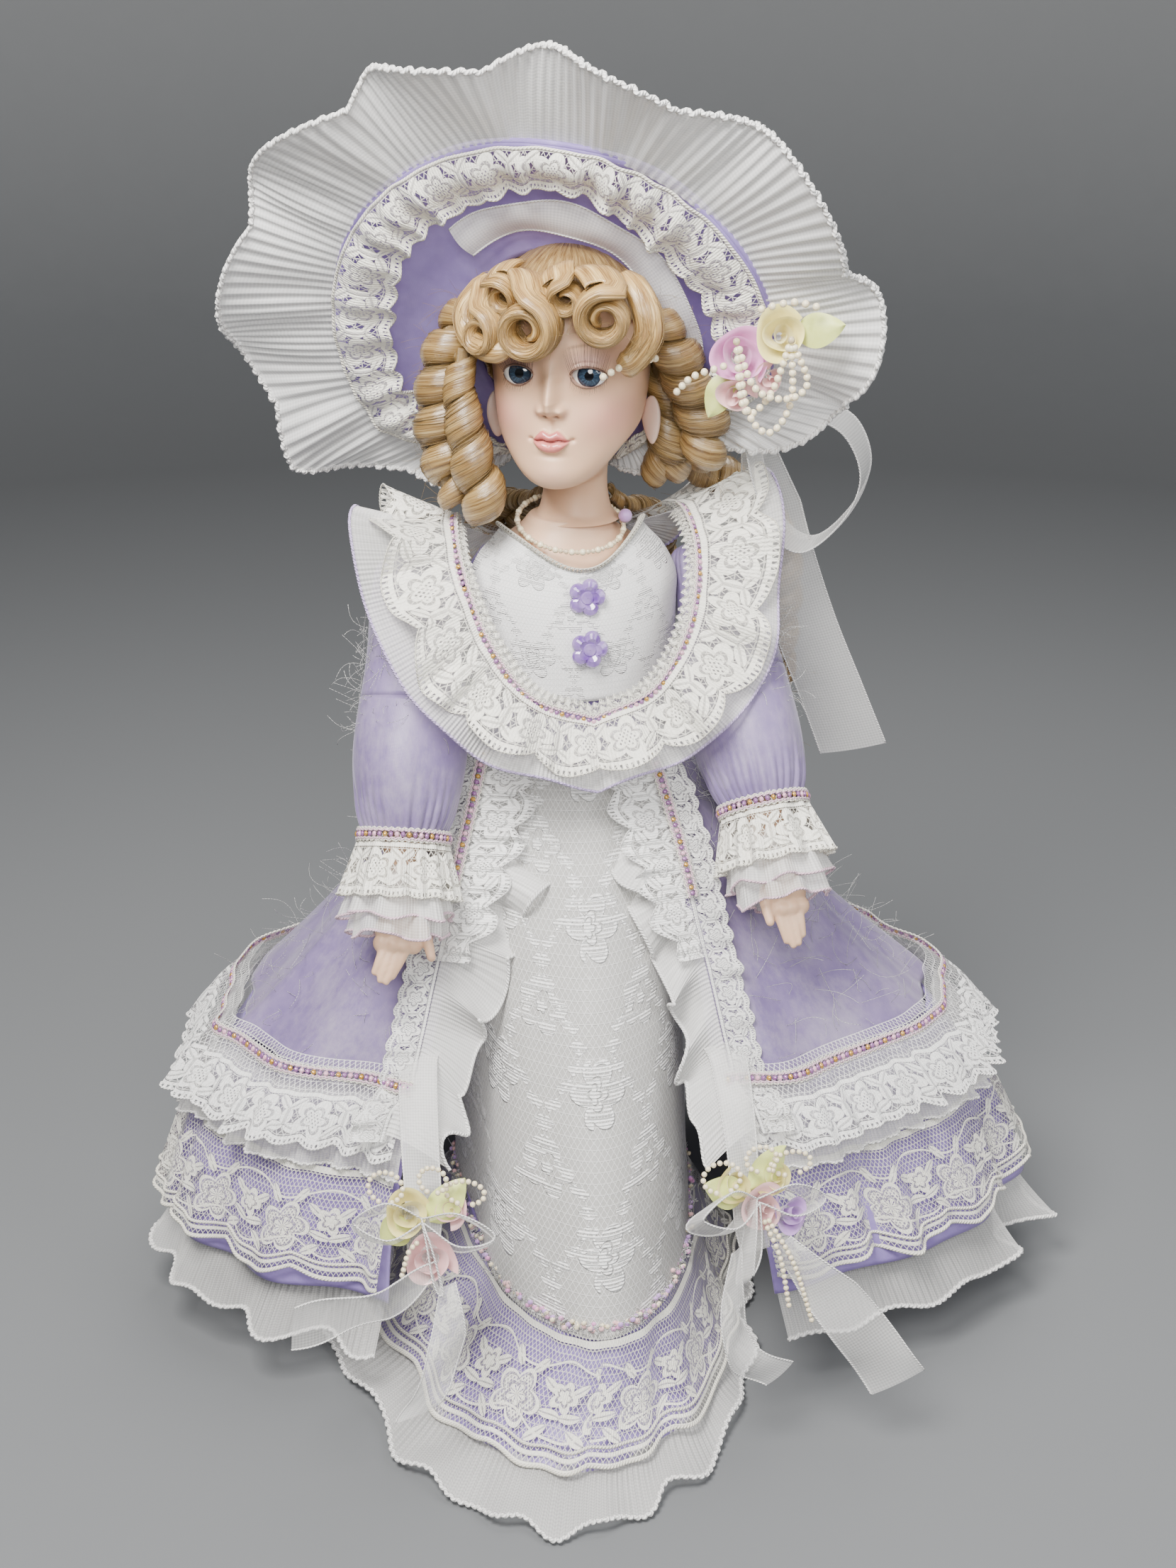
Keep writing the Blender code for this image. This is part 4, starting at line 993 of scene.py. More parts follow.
def ringlet_parts(path, radii, pitch, phase, hand=1):
    """A curl: a flat lock wound round a path like a helix, each turn lying on the next."""
    count = 14 * max(3, int(lengths(spline(path, 60))[-1] / pitch))
    axis = even(spline(path, 200), count)
    size = np.interp(np.linspace(0, 1, count), np.linspace(0, 1, len(radii)), radii)
    _, a, b = frames(axis)
    turns = hand * TAU * lengths(axis) / pitch + phase
    out = a * np.cos(turns)[:, None] + b * np.sin(turns)[:, None]
    line = axis + out * (size * 0.54)[:, None]
    rng = np.random.default_rng(int(phase * 100) + 7)
    rng.normal(0, 1, count)  # the strands' draws follow these
    size = size * (1 + 0.10 * np.sin(np.linspace(0, 11, count) + phase))
    line = line + a * (0.05 * size * np.sin(np.linspace(0, 17, count)))[:, None]
    ratio = size / max(radii)
    wide, thick = pitch * 0.50 * (0.55 + 0.45 * ratio), size * 0.50
    core = tube_part(axis, thick, 8)
    return [lock_part(line, out, wide, thick, 17, 48), core] + strand_parts(line, out, wide, thick, 46, rng)


def stray_parts(rng, roots, heading, size, count):
    """Loose single hairs starting from random points among roots."""
    parts = []
    for _ in range(count):
        at = roots[rng.integers(len(roots))] + rng.normal(0, 0.0008, 3)
        way = unit(np.asarray(heading, float) + rng.normal(0, 0.75, 3))
        side = unit(np.cross(way, rng.normal(0, 1, 3)))
        s = np.linspace(0, 1, 8)[:, None]
        long = size * rng.uniform(0.5, 1.2)
        bend = rng.uniform(-0.35, 0.35)
        line = at + long * (way * s + side * bend * np.sin(s * math.pi * rng.uniform(0.6, 1.4)))
        verts, faces, uv = tube_part(line, 0.045 * MM, 3)
        parts.append((verts, faces, uv + rng.uniform(1, 9, 2)))
    return parts


def spiral_curl(centre, axis, size, start, turns, wide, hand=1, root=None):
    """A rolled curl that faces along axis: a lock that comes from root and winds inwards round centre."""
    axis = unit(np.asarray(axis, float))
    right = unit(np.cross(axis, (0.0, 0.0, 1.0)))
    up = np.cross(right, axis)
    t = np.linspace(0, 1, int(34 * turns))
    angle = start + hand * TAU * turns * t
    radius = size * (0.86 - 0.58 * t**0.8)
    rise = np.outer(0.30 * size * t - 0.15 * size, -axis)
    line = np.asarray(centre) + (right * np.cos(angle)[:, None]
                                 + up * np.sin(angle)[:, None]) * radius[:, None]
    line = line + rise
    out = line - (np.asarray(centre) + rise)
    if root is not None:
        lead = spline([root, (np.asarray(root) * 0.45 + line[0] * 0.55) + out[0] * 0.25, line[0]], 14)[:-1]
        line = np.vstack([lead, line])
        out = np.vstack([np.repeat(out[:1], len(lead), 0), out])
    s = np.linspace(0, 1, len(line))
    rng = np.random.default_rng(int(size * 1e5))
    wide, thick = wide * (1.0 - 0.2 * s), size * 0.27 * (1.0 - 0.35 * s)
    lock = lock_part(line, out, wide, thick, 21, 56)
    return [lock] + strand_parts(line, out, wide, thick, 60, rng)


def hair_cap():
    """Hair combed from the crown down to the hairline all round."""
    rows, cols = 60, 220
    angle = np.linspace(0, TAU, cols, endpoint=False)
    hairline = np.interp(np.cos(angle), (-1, -0.2, 0.35, 1), (0.333, 0.345, 0.370, 0.381))
    grid = []
    for i in range(rows):
        t = i / (rows - 1)
        top = 0.3960
        z = top - (top - hairline) * (0.002 + t) ** 1.25
        high = np.clip((z - 0.358) / 0.0375, -1, 1)
        across = np.sqrt(1 - high**2)
        comb = 1 + 0.012 * np.sin(angle * 38 + 3 * t) + 0.010 * np.sin(angle * 61 - 2 * t) * t
        x, y = 0.0302 * across * np.sin(angle) * comb, -0.005 - 0.0362 * across * np.cos(angle) * comb
        grid.append(np.stack([x, y, z], -1))
    grid = np.array(grid)
    u, v = np.meshgrid(np.linspace(0, 1, cols + 1) * 0.20, np.linspace(0, 0.07, rows))
    cap = grid_mesh("combed_hair", on_head(grid), True, np.stack([v, u], -1), solid=0.0008, look=hair())
    own(cap, "head", "blonde_hair", "wig_cap")


def head_turned(points):
    return turn(points, HEAD_TURN)


def placed(parts, how=head_turned):
    return [(how(verts), faces, uv) for verts, faces, uv in parts]


def combed_lock(line, wide, thick, rng):
    """A flat lock lying on the head, with its single hairs."""
    out = line - np.array((0.0, -0.005, 0.372))
    return [lock_part(line, out, wide, thick, 15, 44)] + strand_parts(line, out, wide, thick, 40, rng)


def hair_pieces():
    """The fringe, the ringlets beside the face and at the nape, and the long curl."""
    rng = np.random.default_rng(5)
    hair_cap()
    rolls = [((-0.0060, -0.0425, 0.3728), (-0.10, -1, -0.10), 0.0116, 2.0, 1.45, 0.0085, 1,
              (-0.0130, -0.0260, 0.3870)),
             ((0.0190, -0.0420, 0.3765), (0.12, -1, -0.10), 0.0106, 1.7, 1.45, 0.0080, -1,
              (0.0080, -0.0290, 0.3890)),
             ((-0.0215, -0.0350, 0.3690), (-0.60, -1, 0.0), 0.0088, 1.8, 1.3, 0.0065, 1,
              (-0.0220, -0.0200, 0.3850)),
             ((0.0065, -0.0405, 0.3825), (0.0, -1, -0.35), 0.0066, 1.2, 1.2, 0.0060, -1,
              (0.0020, -0.0300, 0.3905)),
             ((-0.0150, -0.0350, 0.3815), (-0.3, -1, -0.30), 0.0070, 1.2, 1.2, 0.0060, 1,
              (-0.0120, -0.0250, 0.3900))]
    curls = [part for roll in rolls for part in spiral_curl(*roll)]
    sweep = spline([(0.0210, -0.0240, 0.3880), (0.0290, -0.0310, 0.3800), (0.0310, -0.0320, 0.3700),
                    (0.0265, -0.0330, 0.3620), (0.0215, -0.0345, 0.3590)], 40)
    curls += combed_lock(sweep, 0.0050, 0.0034, rng)
    sweep = spline([(-0.0220, -0.0250, 0.3860), (-0.0300, -0.0270, 0.3760), (-0.0290, -0.0300, 0.3680),
                    (-0.0215, -0.0370, 0.3640), (-0.0120, -0.0410, 0.3645)], 40)
    curls += combed_lock(sweep, 0.0042, 0.0034, rng)
    strays = stray_parts(rng, np.array([(x, -0.045, 0.372) for x in np.linspace(-0.025, 0.028, 20)]),
                         (0, -0.3, 0.5), 0.012, 60)
    # The fringe takes the lighter copy of the hair, painted as lit.
    fringe = make("fringe_rolls", placed(curls + strays, on_head), look=hair("front_lit"))
    own(fringe, "head", "blonde_hair", "fringe_curls")

    falls = {1: [((0.0300, -0.0120, 0.3770), (0.0365, -0.0080, 0.3630), (0.0425, -0.0010, 0.3470),
                  (0.0465, 0.0045, 0.3320), (0.0450, 0.0085, 0.3180)),
                 ((0.0330, 0.0080, 0.3680), (0.0395, 0.0120, 0.3480), (0.0390, 0.0140, 0.3280),
                  (0.0320, 0.0160, 0.3130)),
                 ((0.0300, 0.0040, 0.3560), (0.0335, 0.0080, 0.3400), (0.0330, 0.0110, 0.3250),
                  (0.0280, 0.0140, 0.3120))],
             -1: [((-0.0290, -0.0170, 0.3750), (-0.0365, -0.0190, 0.3600), (-0.0385, -0.0190, 0.3430),
                   (-0.0380, -0.0190, 0.3260), (-0.0340, -0.0200, 0.3085)),
                  ((-0.0290, -0.0250, 0.3620), (-0.0300, -0.0270, 0.3480), (-0.0275, -0.0285, 0.3340),
                   (-0.0240, -0.0285, 0.3190), (-0.0220, -0.0270, 0.3060)),
                  ((-0.0320, -0.0040, 0.3700), (-0.0400, -0.0060, 0.3520), (-0.0420, -0.0060, 0.3320),
                   (-0.0380, -0.0060, 0.3130))]}
    sizes = {1: [(0.0060, 0.0078, 0.0086, 0.0092, 0.0072), (0.0060, 0.0088, 0.0092, 0.0066),
                 (0.005, 0.007, 0.008, 0.006)],
             -1: [(0.0065, 0.0086, 0.0094, 0.0096, 0.0074), (0.0042, 0.0056, 0.0070, 0.0086, 0.0076),
                  (0.0060, 0.0088, 0.0090, 0.0065)]}
    for side, name in ((-1, "right"), (1, "left")):
        parts = []
        for k, (path, radii) in enumerate(zip(falls[side], sizes[side])):
            parts += ringlet_parts(path, radii, 0.0125 + 0.0012 * k, phase=1.3 * k + side + 3, hand=-side)
        roots = np.array(falls[side][0])
        parts += stray_parts(rng, roots, (side * 0.8, -0.4, -0.2), 0.016, 90)
        curls = make(f"{name}_ringlets", placed(parts), look=hair())
        own(curls, "head", "blonde_hair", f"{name}_side_curls")

    parts = []
    for k, x in enumerate(np.linspace(-0.024, 0.024, 6)):
        drift = -0.010 + x * 0.35
        path = [(x * 0.42, 0.0195, 0.3070), (x * 0.60 + drift * 0.2, 0.0260, 0.3000),
                (x * 0.85 + drift * 0.6, 0.0400, 0.2945), (x + drift, 0.0510, 0.2840),
                (x + drift, 0.0545, 0.2680), (x + drift, 0.0530, 0.2475 + 0.002 * (k % 2))]
        parts += ringlet_parts(path, (0.0018, 0.0026, 0.0050, 0.0072, 0.0078, 0.0056), 0.0100, phase=k * 1.9,
                               hand=1 if k % 2 else -1)
    nape = make("nape_ringlets", placed(parts), look=hair())
    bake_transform(nape)
    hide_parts("nape_curls")
    path = [(0.0300, 0.0330, 0.3180), (0.0480, 0.0400, 0.3060), (0.0610, 0.0480, 0.2900),
            (0.0660, 0.0540, 0.2700), (0.0665, 0.0570, 0.2480), (0.0700, 0.0580, 0.2210)]
    parts = ringlet_parts(path, (0.0050, 0.0084, 0.0096, 0.0094, 0.0078, 0.0048), 0.0135, phase=0.5)
    parts += stray_parts(rng, np.array(path[1:]), (0.7, 0.2, 0.1), 0.020, 40)
    fall = make("long_curl", placed(parts), look=hair())
    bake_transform(fall)
    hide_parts("long_ringlet")
    paint(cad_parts["pate"], plain("card"))


# ---- cloth helpers -------------------------------------------------------------------------------
def uv_of(grid, closed=False):
    """UVs in metres: u along the rows, and v growing upwards from the last row."""
    g = np.concatenate([grid, grid[:, :1]], 1) if closed else grid
    rows = np.linalg.norm(np.diff(g, axis=1), axis=2).mean(0)
    u = np.concatenate([[0], np.cumsum(rows)])
    cols = np.linalg.norm(np.diff(g, axis=0), axis=2).mean(1)
    v = np.concatenate([np.cumsum(cols[::-1])[::-1], [0]])
    return np.stack(np.meshgrid(u, v), -1)


def cloth(name, grid, look, slot, body, nodes=(), closed=False, solid=0.0,
          zoom=1.0):
    """A sheet of cloth from a grid of points, whose last row is its free edge. zoom scales its pattern."""
    obj = grid_mesh(name, grid, closed, uv_of(grid, closed) * zoom, solid, look)
    own(obj, body, slot, *nodes)
    return obj


def sway(angle, rng, low, high, count):
    """A smooth random wave round a ring, about 1 high."""
    total = np.zeros_like(angle)
    for k in np.linspace(low, high, count):
        total += np.sin(round(k) * angle + rng.uniform(0, TAU)) * rng.uniform(0.6, 1.0)
    return total / math.sqrt(count)


def pearls(line, radius):
    """Balls strung along a line of points."""
    count = max(2, int(lengths(np.asarray(line, float))[-1] / (radius * 2.05)))
    return [ball_part(p, radius, 10, 7) for p in even(np.asarray(line, float), count)]


def braid(name, line, out, body, half=0.0011):
    """Amber and purple beads between twisted cords along a line. Its face looks along out at each point."""
    n = int(lengths(line)[-1] / 0.0005)
    both = even(np.concatenate([line, np.broadcast_to(out, line.shape)], 1), n)
    line, out = both[:, :3], unit(both[:, 3:])
    t = unit(np.gradient(line, axis=0))
    over = np.cross(t, out)
    at = lengths(line)
    pairs = []
    for side in (-1, 1):
        wave = (half * 1.25 + 0.00022 * np.sin(at * TAU / 0.0022 + side))[:, None]
        pairs.append((tube_part(line + side * over * wave + out * 0.0004, 0.00042, 5), thread("pink")))
        pairs.append((tube_part(line + side * over * wave * 1.45 + out * 0.0002, 0.00036, 5),
                      thread("cream")))
    kinds = ("amber_bead", "purple_bead", "pink_bead", "purple_bead")
    for i, k in enumerate(range(2, n - 2, 4)):
        centre = line[k] + out[k] * 0.00055
        a = np.stack([t[k] * 0.00088, over[k] * half * 0.95, out[k] * 0.00062])
        verts, faces, uv = ball_part((0, 0, 0), 1.0, 7, 5)
        pairs.append(((verts @ a + centre, faces, uv), plain(kinds[i % 4])))
    return own(group(name, pairs), body, "cream_pearl")


def edge_cord(grid_row, radius, closed=False):
    line = np.vstack([grid_row, grid_row[:1]]) if closed else grid_row
    return tube_part(line, radius, 5, capped=not closed)


# ---- the hat -------------------------------------------------------------------------------------
HAT_TILT = math.radians(66)
HAT_CENTRE = np.array((-0.004, 0.006, 0.362))
HAT_BACK = np.array((0, math.sin(HAT_TILT), math.cos(HAT_TILT)))
HAT_UP = np.array((0, -math.cos(HAT_TILT), math.sin(HAT_TILT)))
OPENING_X, OPENING_U, BRIM_EDGE, RUFFLE_EDGE = 0.0345, 0.0400, 0.0785, 0.1130


def hat_point(angle, radius_x, radius_u, back):
    angle, radius_x, radius_u, back = np.broadcast_arrays(angle, radius_x, radius_u, back)
    return (HAT_CENTRE + (radius_x * np.sin(angle))[..., None] * np.array((1.0, 0, 0))
            + (radius_u * np.cos(angle))[..., None] * HAT_UP + back[..., None] * HAT_BACK)


def hat_at(reach, angle, back, lift=0.0):
    """A point of the brim (reach 0 to 1) or of the ruffle (1 to 2), narrow at the nape. lift lengthens it."""
    up = 0.5 + 0.5 * np.cos(angle)
    rolled = 0.5 + 0.5 * np.cos(angle + math.radians(9))
    wide = 0.25 + 0.75 * np.clip((rolled - 0.076) / 0.26, 0, 1)
    wide = wide * (1 - 0.13 * np.exp(-((angle - 2.0) / 0.5) ** 2))
    out = np.minimum(reach, 1) * (BRIM_EDGE - OPENING_U)
    out = (out + np.maximum(reach - 1, 0) * (RUFFLE_EDGE - BRIM_EDGE)) * wide + lift
    return hat_point(angle, OPENING_X + 1.06 * out, OPENING_U + out, back - 0.010 * reach * up)


def hat():
    """The satin brim and crown, the gathered lace and the pleated organza ruffle."""
    rng = np.random.default_rng(21)
    t = np.linspace(0, TAU, 200, endpoint=False)
    fold = sway(t, rng, 4, 9, 4)
    rows = []
    for reach in np.linspace(-0.16, 1.0, 24):
        rows.append(hat_at(reach, t, -0.0028 + 0.0012 * fold * reach**2 + 0.0030 * math.sin(math.pi * reach)))
    rows.append(hat_at(1.015, t, -0.0012 + 0.0012 * fold))
    brim = np.array(rows)
    cloth("hat_brim_satin", turn(brim, HEAD_TURN), lavender_satin(0), "lavender_satin", "head", ["hat_brim"],
          True, 0.0011)
    wire = hat_at(1.02, t, -0.0018 + 0.0012 * fold)
    own(make("hat_brim_piping", [edge_cord(turn(wire, HEAD_TURN), 0.0011, True)], look=lavender_satin(0)),
        "head", "lavender_satin")

    sections = spline([(0.0, 1.0), (0.010, 1.04), (0.020, 1.04), (0.029, 0.90), (0.0355, 0.62),
                       (0.0392, 0.28), (0.0400, 0.02)], 26)
    folds = 1 + 0.012 * sway(t, rng, 7, 19, 5)
    crown = np.array([hat_point(t, (OPENING_X + 0.0012) * k * folds, (OPENING_U + 0.0012) * k * folds, back)
                      for back, k in sections])
    cloth("hat_crown_satin", turn(crown, HEAD_TURN)[:, ::-1], lavender_satin(0), "lavender_satin", "head",
          ["hat_crown"], True, 0.0010)

    fine = np.linspace(0, TAU, 1500, endpoint=False)
    gathers = sway(fine, rng, 20, 44, 6)
    crimp = np.sin(170 * fine + 2 * np.sin(5 * fine))
    scallop = np.abs(np.sin(fine * 22 + 0.6 * np.sin(3 * fine)))
    drift = sway(fine, rng, 2, 6, 3)
    rows = []
    for k in np.linspace(0, 1, 14):
        reach = 1.0 - k * (0.44 + 0.07 * drift) - 0.045 * scallop * k
        puff = 0.0030 * np.sin(math.pi * min(1, k * 1.3)) + 0.0021 * gathers * (0.35 + k)
        rows.append(hat_at(reach, fine + 0.012 * gathers * k, -0.0058 - puff - 0.0022 * k))
    lace_rows = turn(np.array(rows), HEAD_TURN)
    cloth("hat_lace_ruffle", lace_rows, lace("small"), "cream_lace", "head", ["hat_lace"], True, 0.0,
          0.62)
    cords = [edge_cord(lace_rows[-1], 0.00055, True), edge_cord(lace_rows[0], 0.0006, True)]
    own(make("hat_lace_edges", cords, look=thread("cream")), "head", "cream_lace")

    lobes = np.sin(11 * fine + 0.9 * np.sin(3 * fine + 1) + 0.5)
    cut = 0.0036 * np.abs(np.sin(5.5 * fine + 0.45 * np.sin(3 * fine + 1) + 0.25)) - 0.0026
    rows = []
    for k in np.linspace(0, 1, 18):
        reach = 0.97 + 1.03 * k
        ripple = (0.00055 * crimp * min(1, 0.35 + k) + 0.0052 * lobes * k**1.3
                  + 0.0016 * gathers * (1 - k) * k * 3)
        rows.append(hat_at(reach, fine + 0.035 * np.cos(11 * fine) * k, -0.0025 + ripple, cut * k * 2.2))
    ruffle = turn(np.array(rows), HEAD_TURN)
    cloth("hat_organza_ruffle", ruffle, organza("grey", 0.72), "white_organza", "head", ["hat_ruffle"], True,
          0.0)
    rim = ruffle[-1] + 0.0004 * np.stack([np.sin(fine * 260)] * 3, -1)
    own(make("hat_ruffle_edge", [edge_cord(rim, 0.00085, True)], look=thread("white")), "head",
        "white_organza")

    hat_ribbons()
    hat_flowers()


def ribbon_grid(line, across, half, rows=9, ripple=0.0, bend=0.0):
    """A band of cloth along a line, lying along the direction across at each point."""
    n = len(line)
    across = unit(np.broadcast_to(across, line.shape).astype(float))
    t = unit(np.gradient(line, axis=0))
    out = np.cross(t, across)
    s = np.linspace(-1, 1, rows)
    half = np.broadcast_to(half, n)
    lift = ripple * np.sin(np.linspace(0, 9, n))[None] * s[:, None] + bend * (1 - s[:, None] ** 2)
    return (line[None] + across[None] * (half[None] * s[:, None])[..., None] + out[None] * lift[..., None])


def ribbon(name, line, across, half, look, slot, body, nodes=(), ripple=0.0, bend=0.0, edges=None):
    """A hanging ribbon with a thread along each edge."""
    grid = ribbon_grid(line, across, half, 11, ripple, bend)
    cloth(name, grid, look, slot, body, nodes)
    cords = [tube_part(grid[0], 0.00032, 5), tube_part(grid[-1], 0.00032, 5)]
    own(make(f"{name}_edges", cords, look=edges), body, slot)


def hat_ribbons():
    """The sheer band round the crown, and the bow and tails behind the doll's left shoulder."""
    a = np.radians(np.linspace(-38, 92, 90))
    inner = hat_point(a, 0.0385, 0.0440, -0.0070 - 0.0012 * np.sin(a * 7))
    outer = hat_point(a, 0.0500, 0.0555, -0.0082 + 0.0012 * np.sin(a * 9))
    k = np.linspace(0, 1, 9)[:, None, None]
    puff = (0.0018 * np.sin(math.pi * k)) * -HAT_BACK
    band_grid = turn(inner[None] * (1 - k) + outer[None] * k + puff, HEAD_TURN)
    cloth("hat_band_ribbon", band_grid, organza("white", 0.62), "white_organza", "head", ["hat_band"])
    cords = [tube_part(band_grid[0], 0.00035, 5), tube_part(band_grid[-1], 0.00035, 5)]
    own(make("hat_band_edges", cords, look=thread("white")), "head", "white_organza")
    loop = spline([(0.0600, 0.0200, 0.3300), (0.0690, 0.0240, 0.3350), (0.0800, 0.0290, 0.3355),
                   (0.0925, 0.0330, 0.3290), (0.0985, 0.0345, 0.3140), (0.0930, 0.0345, 0.2985),
                   (0.0805, 0.0320, 0.2870), (0.0700, 0.0280, 0.2930), (0.0630, 0.0230, 0.3120),
                   (0.0600, 0.0210, 0.3280)], 90)
    ribbon("hat_bow_loop", turn(loop, HEAD_TURN), turn((0.16, 1, 0.05), HEAD_TURN), 0.0095,
           organza("white", 0.5), "white_organza", "head", ["hat_bow"], 0.0008, 0.0010, thread("white"))
    tail = spline([(0.0610, 0.0210, 0.3290), (0.0650, 0.0300, 0.3060), (0.0700, 0.0370, 0.2820),
                   (0.0780, 0.0440, 0.2540), (0.0880, 0.0500, 0.2270), (0.0970, 0.0540, 0.2030)], 90)
    ribbon("hat_tail", turn(tail, HEAD_TURN), turn((1, 0.15, 0.22), HEAD_TURN),
           0.0122 * np.interp(np.linspace(0, 1, 90), (0, 0.25, 1), (0.35, 0.85, 1.0)),
           organza("white", 0.46), "white_organza", "head", ["hat_ribbon_tail"], 0.0012, 0.0012,
           thread("white"))
    knot = ball_part(turn((0.0605, 0.0200, 0.3295), HEAD_TURN), (0.0042, 0.0036, 0.0052), 24, 14)
    own(make("hat_bow_knot", [knot], look=organza("white", 0.5)), "head", "white_organza")


def rose_part(centre, axis, size, turns=3.1, seed=0):
    """A ribbon rose: a satin band wound in a spiral, its outer turns opening."""
    rng = np.random.default_rng(seed)
    axis = unit(np.asarray(axis, float))
    right = unit(np.cross(axis, (0.15, 0.1, 1.0)))
    up = np.cross(right, axis)
    n = int(46 * turns)
    t = np.linspace(0, 1, n)
    angle = TAU * turns * t + rng.uniform(0, TAU)
    wave = 1 + 0.10 * np.sin(angle * 2.5 + rng.uniform(0, 6))
    rows = []
    for k in np.linspace(0, 1, 9):
        radius = size * (0.10 + 0.80 * t) * (0.42 + 0.62 * k**0.8 + 0.10 * k**4 * t) * wave
        height = size * ((0.50 - 0.42 * t**1.3) * k + 0.45 * k - 0.50 - 0.10 * k**6)
        rows.append(np.asarray(centre) + right * (radius * np.cos(angle))[:, None]
                    + up * (radius * np.sin(angle))[:, None] + axis * height[:, None])
    return grid_part(np.array(rows))


def leaf_part(base, tip, out, half):
    base, tip = np.asarray(base, float), np.asarray(tip, float)
    s = np.linspace(0, 1, 14)
    along = tip - base
    over = unit(np.cross(along, out))
    width = half * np.sin(math.pi * s**0.8) ** 0.8 + 0.0001
    rows = [base + along * s[:, None] + over * (width * k)[:, None]
            + unit(np.asarray(out, float)) * (0.0012 * np.sin(math.pi * s) - 0.0014 * abs(k) * 0.8)[:, None]
            for k in np.linspace(-1, 1, 7)]
    return grid_part(np.array(rows))


def hat_flowers():
    """Ribbon roses, a bud, a leaf and strings of pearls at the doll's left of the brim."""
    pink = hat_point(math.radians(80), 0.066, 0.062, -0.0245)
    yellow = hat_point(math.radians(74), 0.082, 0.070, -0.0245)
    face = np.array((0.25, -1.0, 0.25))
    low = pink + np.array((-0.001, -0.001, -0.0125))
    roses = [(rose_part(pink, face, 0.0108, seed=1), "pink_rose"), (rose_part(yellow, face, 0.0096, seed=2),
                                                                    "yellow_rose"),
             (rose_part(low, (0.0, -1, -0.3), 0.0070, 2.4, 3), "pale_rose"),
             (rose_part(pink + np.array((0.010, 0.002, -0.007)), (0.5, -1, -0.2), 0.0058, 2.3, 4),
              "pale_rose"),
             (leaf_part(yellow + (0.004, 0.004, 0.0), yellow + (0.020, 0.002, 0.004), (0, -1, 0.2), 0.0055),
              "leaf"),
             (leaf_part(pink + (-0.003, 0.004, -0.006), low + (-0.009, 0.003, -0.008), (0, -1, 0.2), 0.0050),
              "leaf")]
    for k, (part, kind) in enumerate(roses):
        cap = {"pink_rose": ["pink_rose"], "yellow_rose": ["yellow_rose"]}.get(kind, [])
        obj = make(f"hat_{kind}" if cap else f"hat_{kind}_{k}", placed([part]),
                   look=plain(kind))
        own(obj, "head", "pink_satin" if "yellow" not in kind else "yellow_satin", *cap)
    strings = []
    for drop, spread in ((-0.016, 0.006), (-0.022, 0.012), (-0.011, 0.017)):
        strings.append(spline([pink + (0.000, -0.006, 0.006), pink + (spread * 0.4, -0.010, drop * 0.7),
                               pink + (spread, -0.009, drop), pink + (spread + 0.006, -0.006, drop * 0.55),
                               yellow + (0.004, -0.006, 0.0)], 30))
    strings.append(spline([yellow + (-0.006, -0.004, 0.009), yellow + (0.004, -0.004, 0.0115),
                           yellow + (0.011, -0.002, 0.010)], 16))
    strings.append(spline([pink + (-0.004, -0.006, -0.002), pink + (-0.014, -0.004, -0.006),
                           pink + (-0.020, 0.000, -0.012)], 18))
    temple = spline([(0.0335, -0.0190, 0.3600), (0.0270, -0.0325, 0.3605), (0.0205, -0.0395, 0.3575)], 12)
    strings.append(temple)
    parts = [ball for line in strings for ball in pearls(turn(line, HEAD_TURN), 0.00125)]
    own(make("hat_pearls", parts, look=plain("pearl")), "head", "cream_pearl")


# ---- the bodice and collar -----------------------------------------------------------------------
def oval_rows(sections, rows, cols, angle=None):
    """A loft of level ovals, (height, half width, depth). The angle runs from the front by +X."""
    angle = np.linspace(0, TAU, cols, endpoint=False) if angle is None else angle
    z, half, deep = spline(sections, rows).T[:, :, None]
    return np.stack([half * np.sin(angle), -deep * np.cos(angle), z + 0 * angle], -1), angle


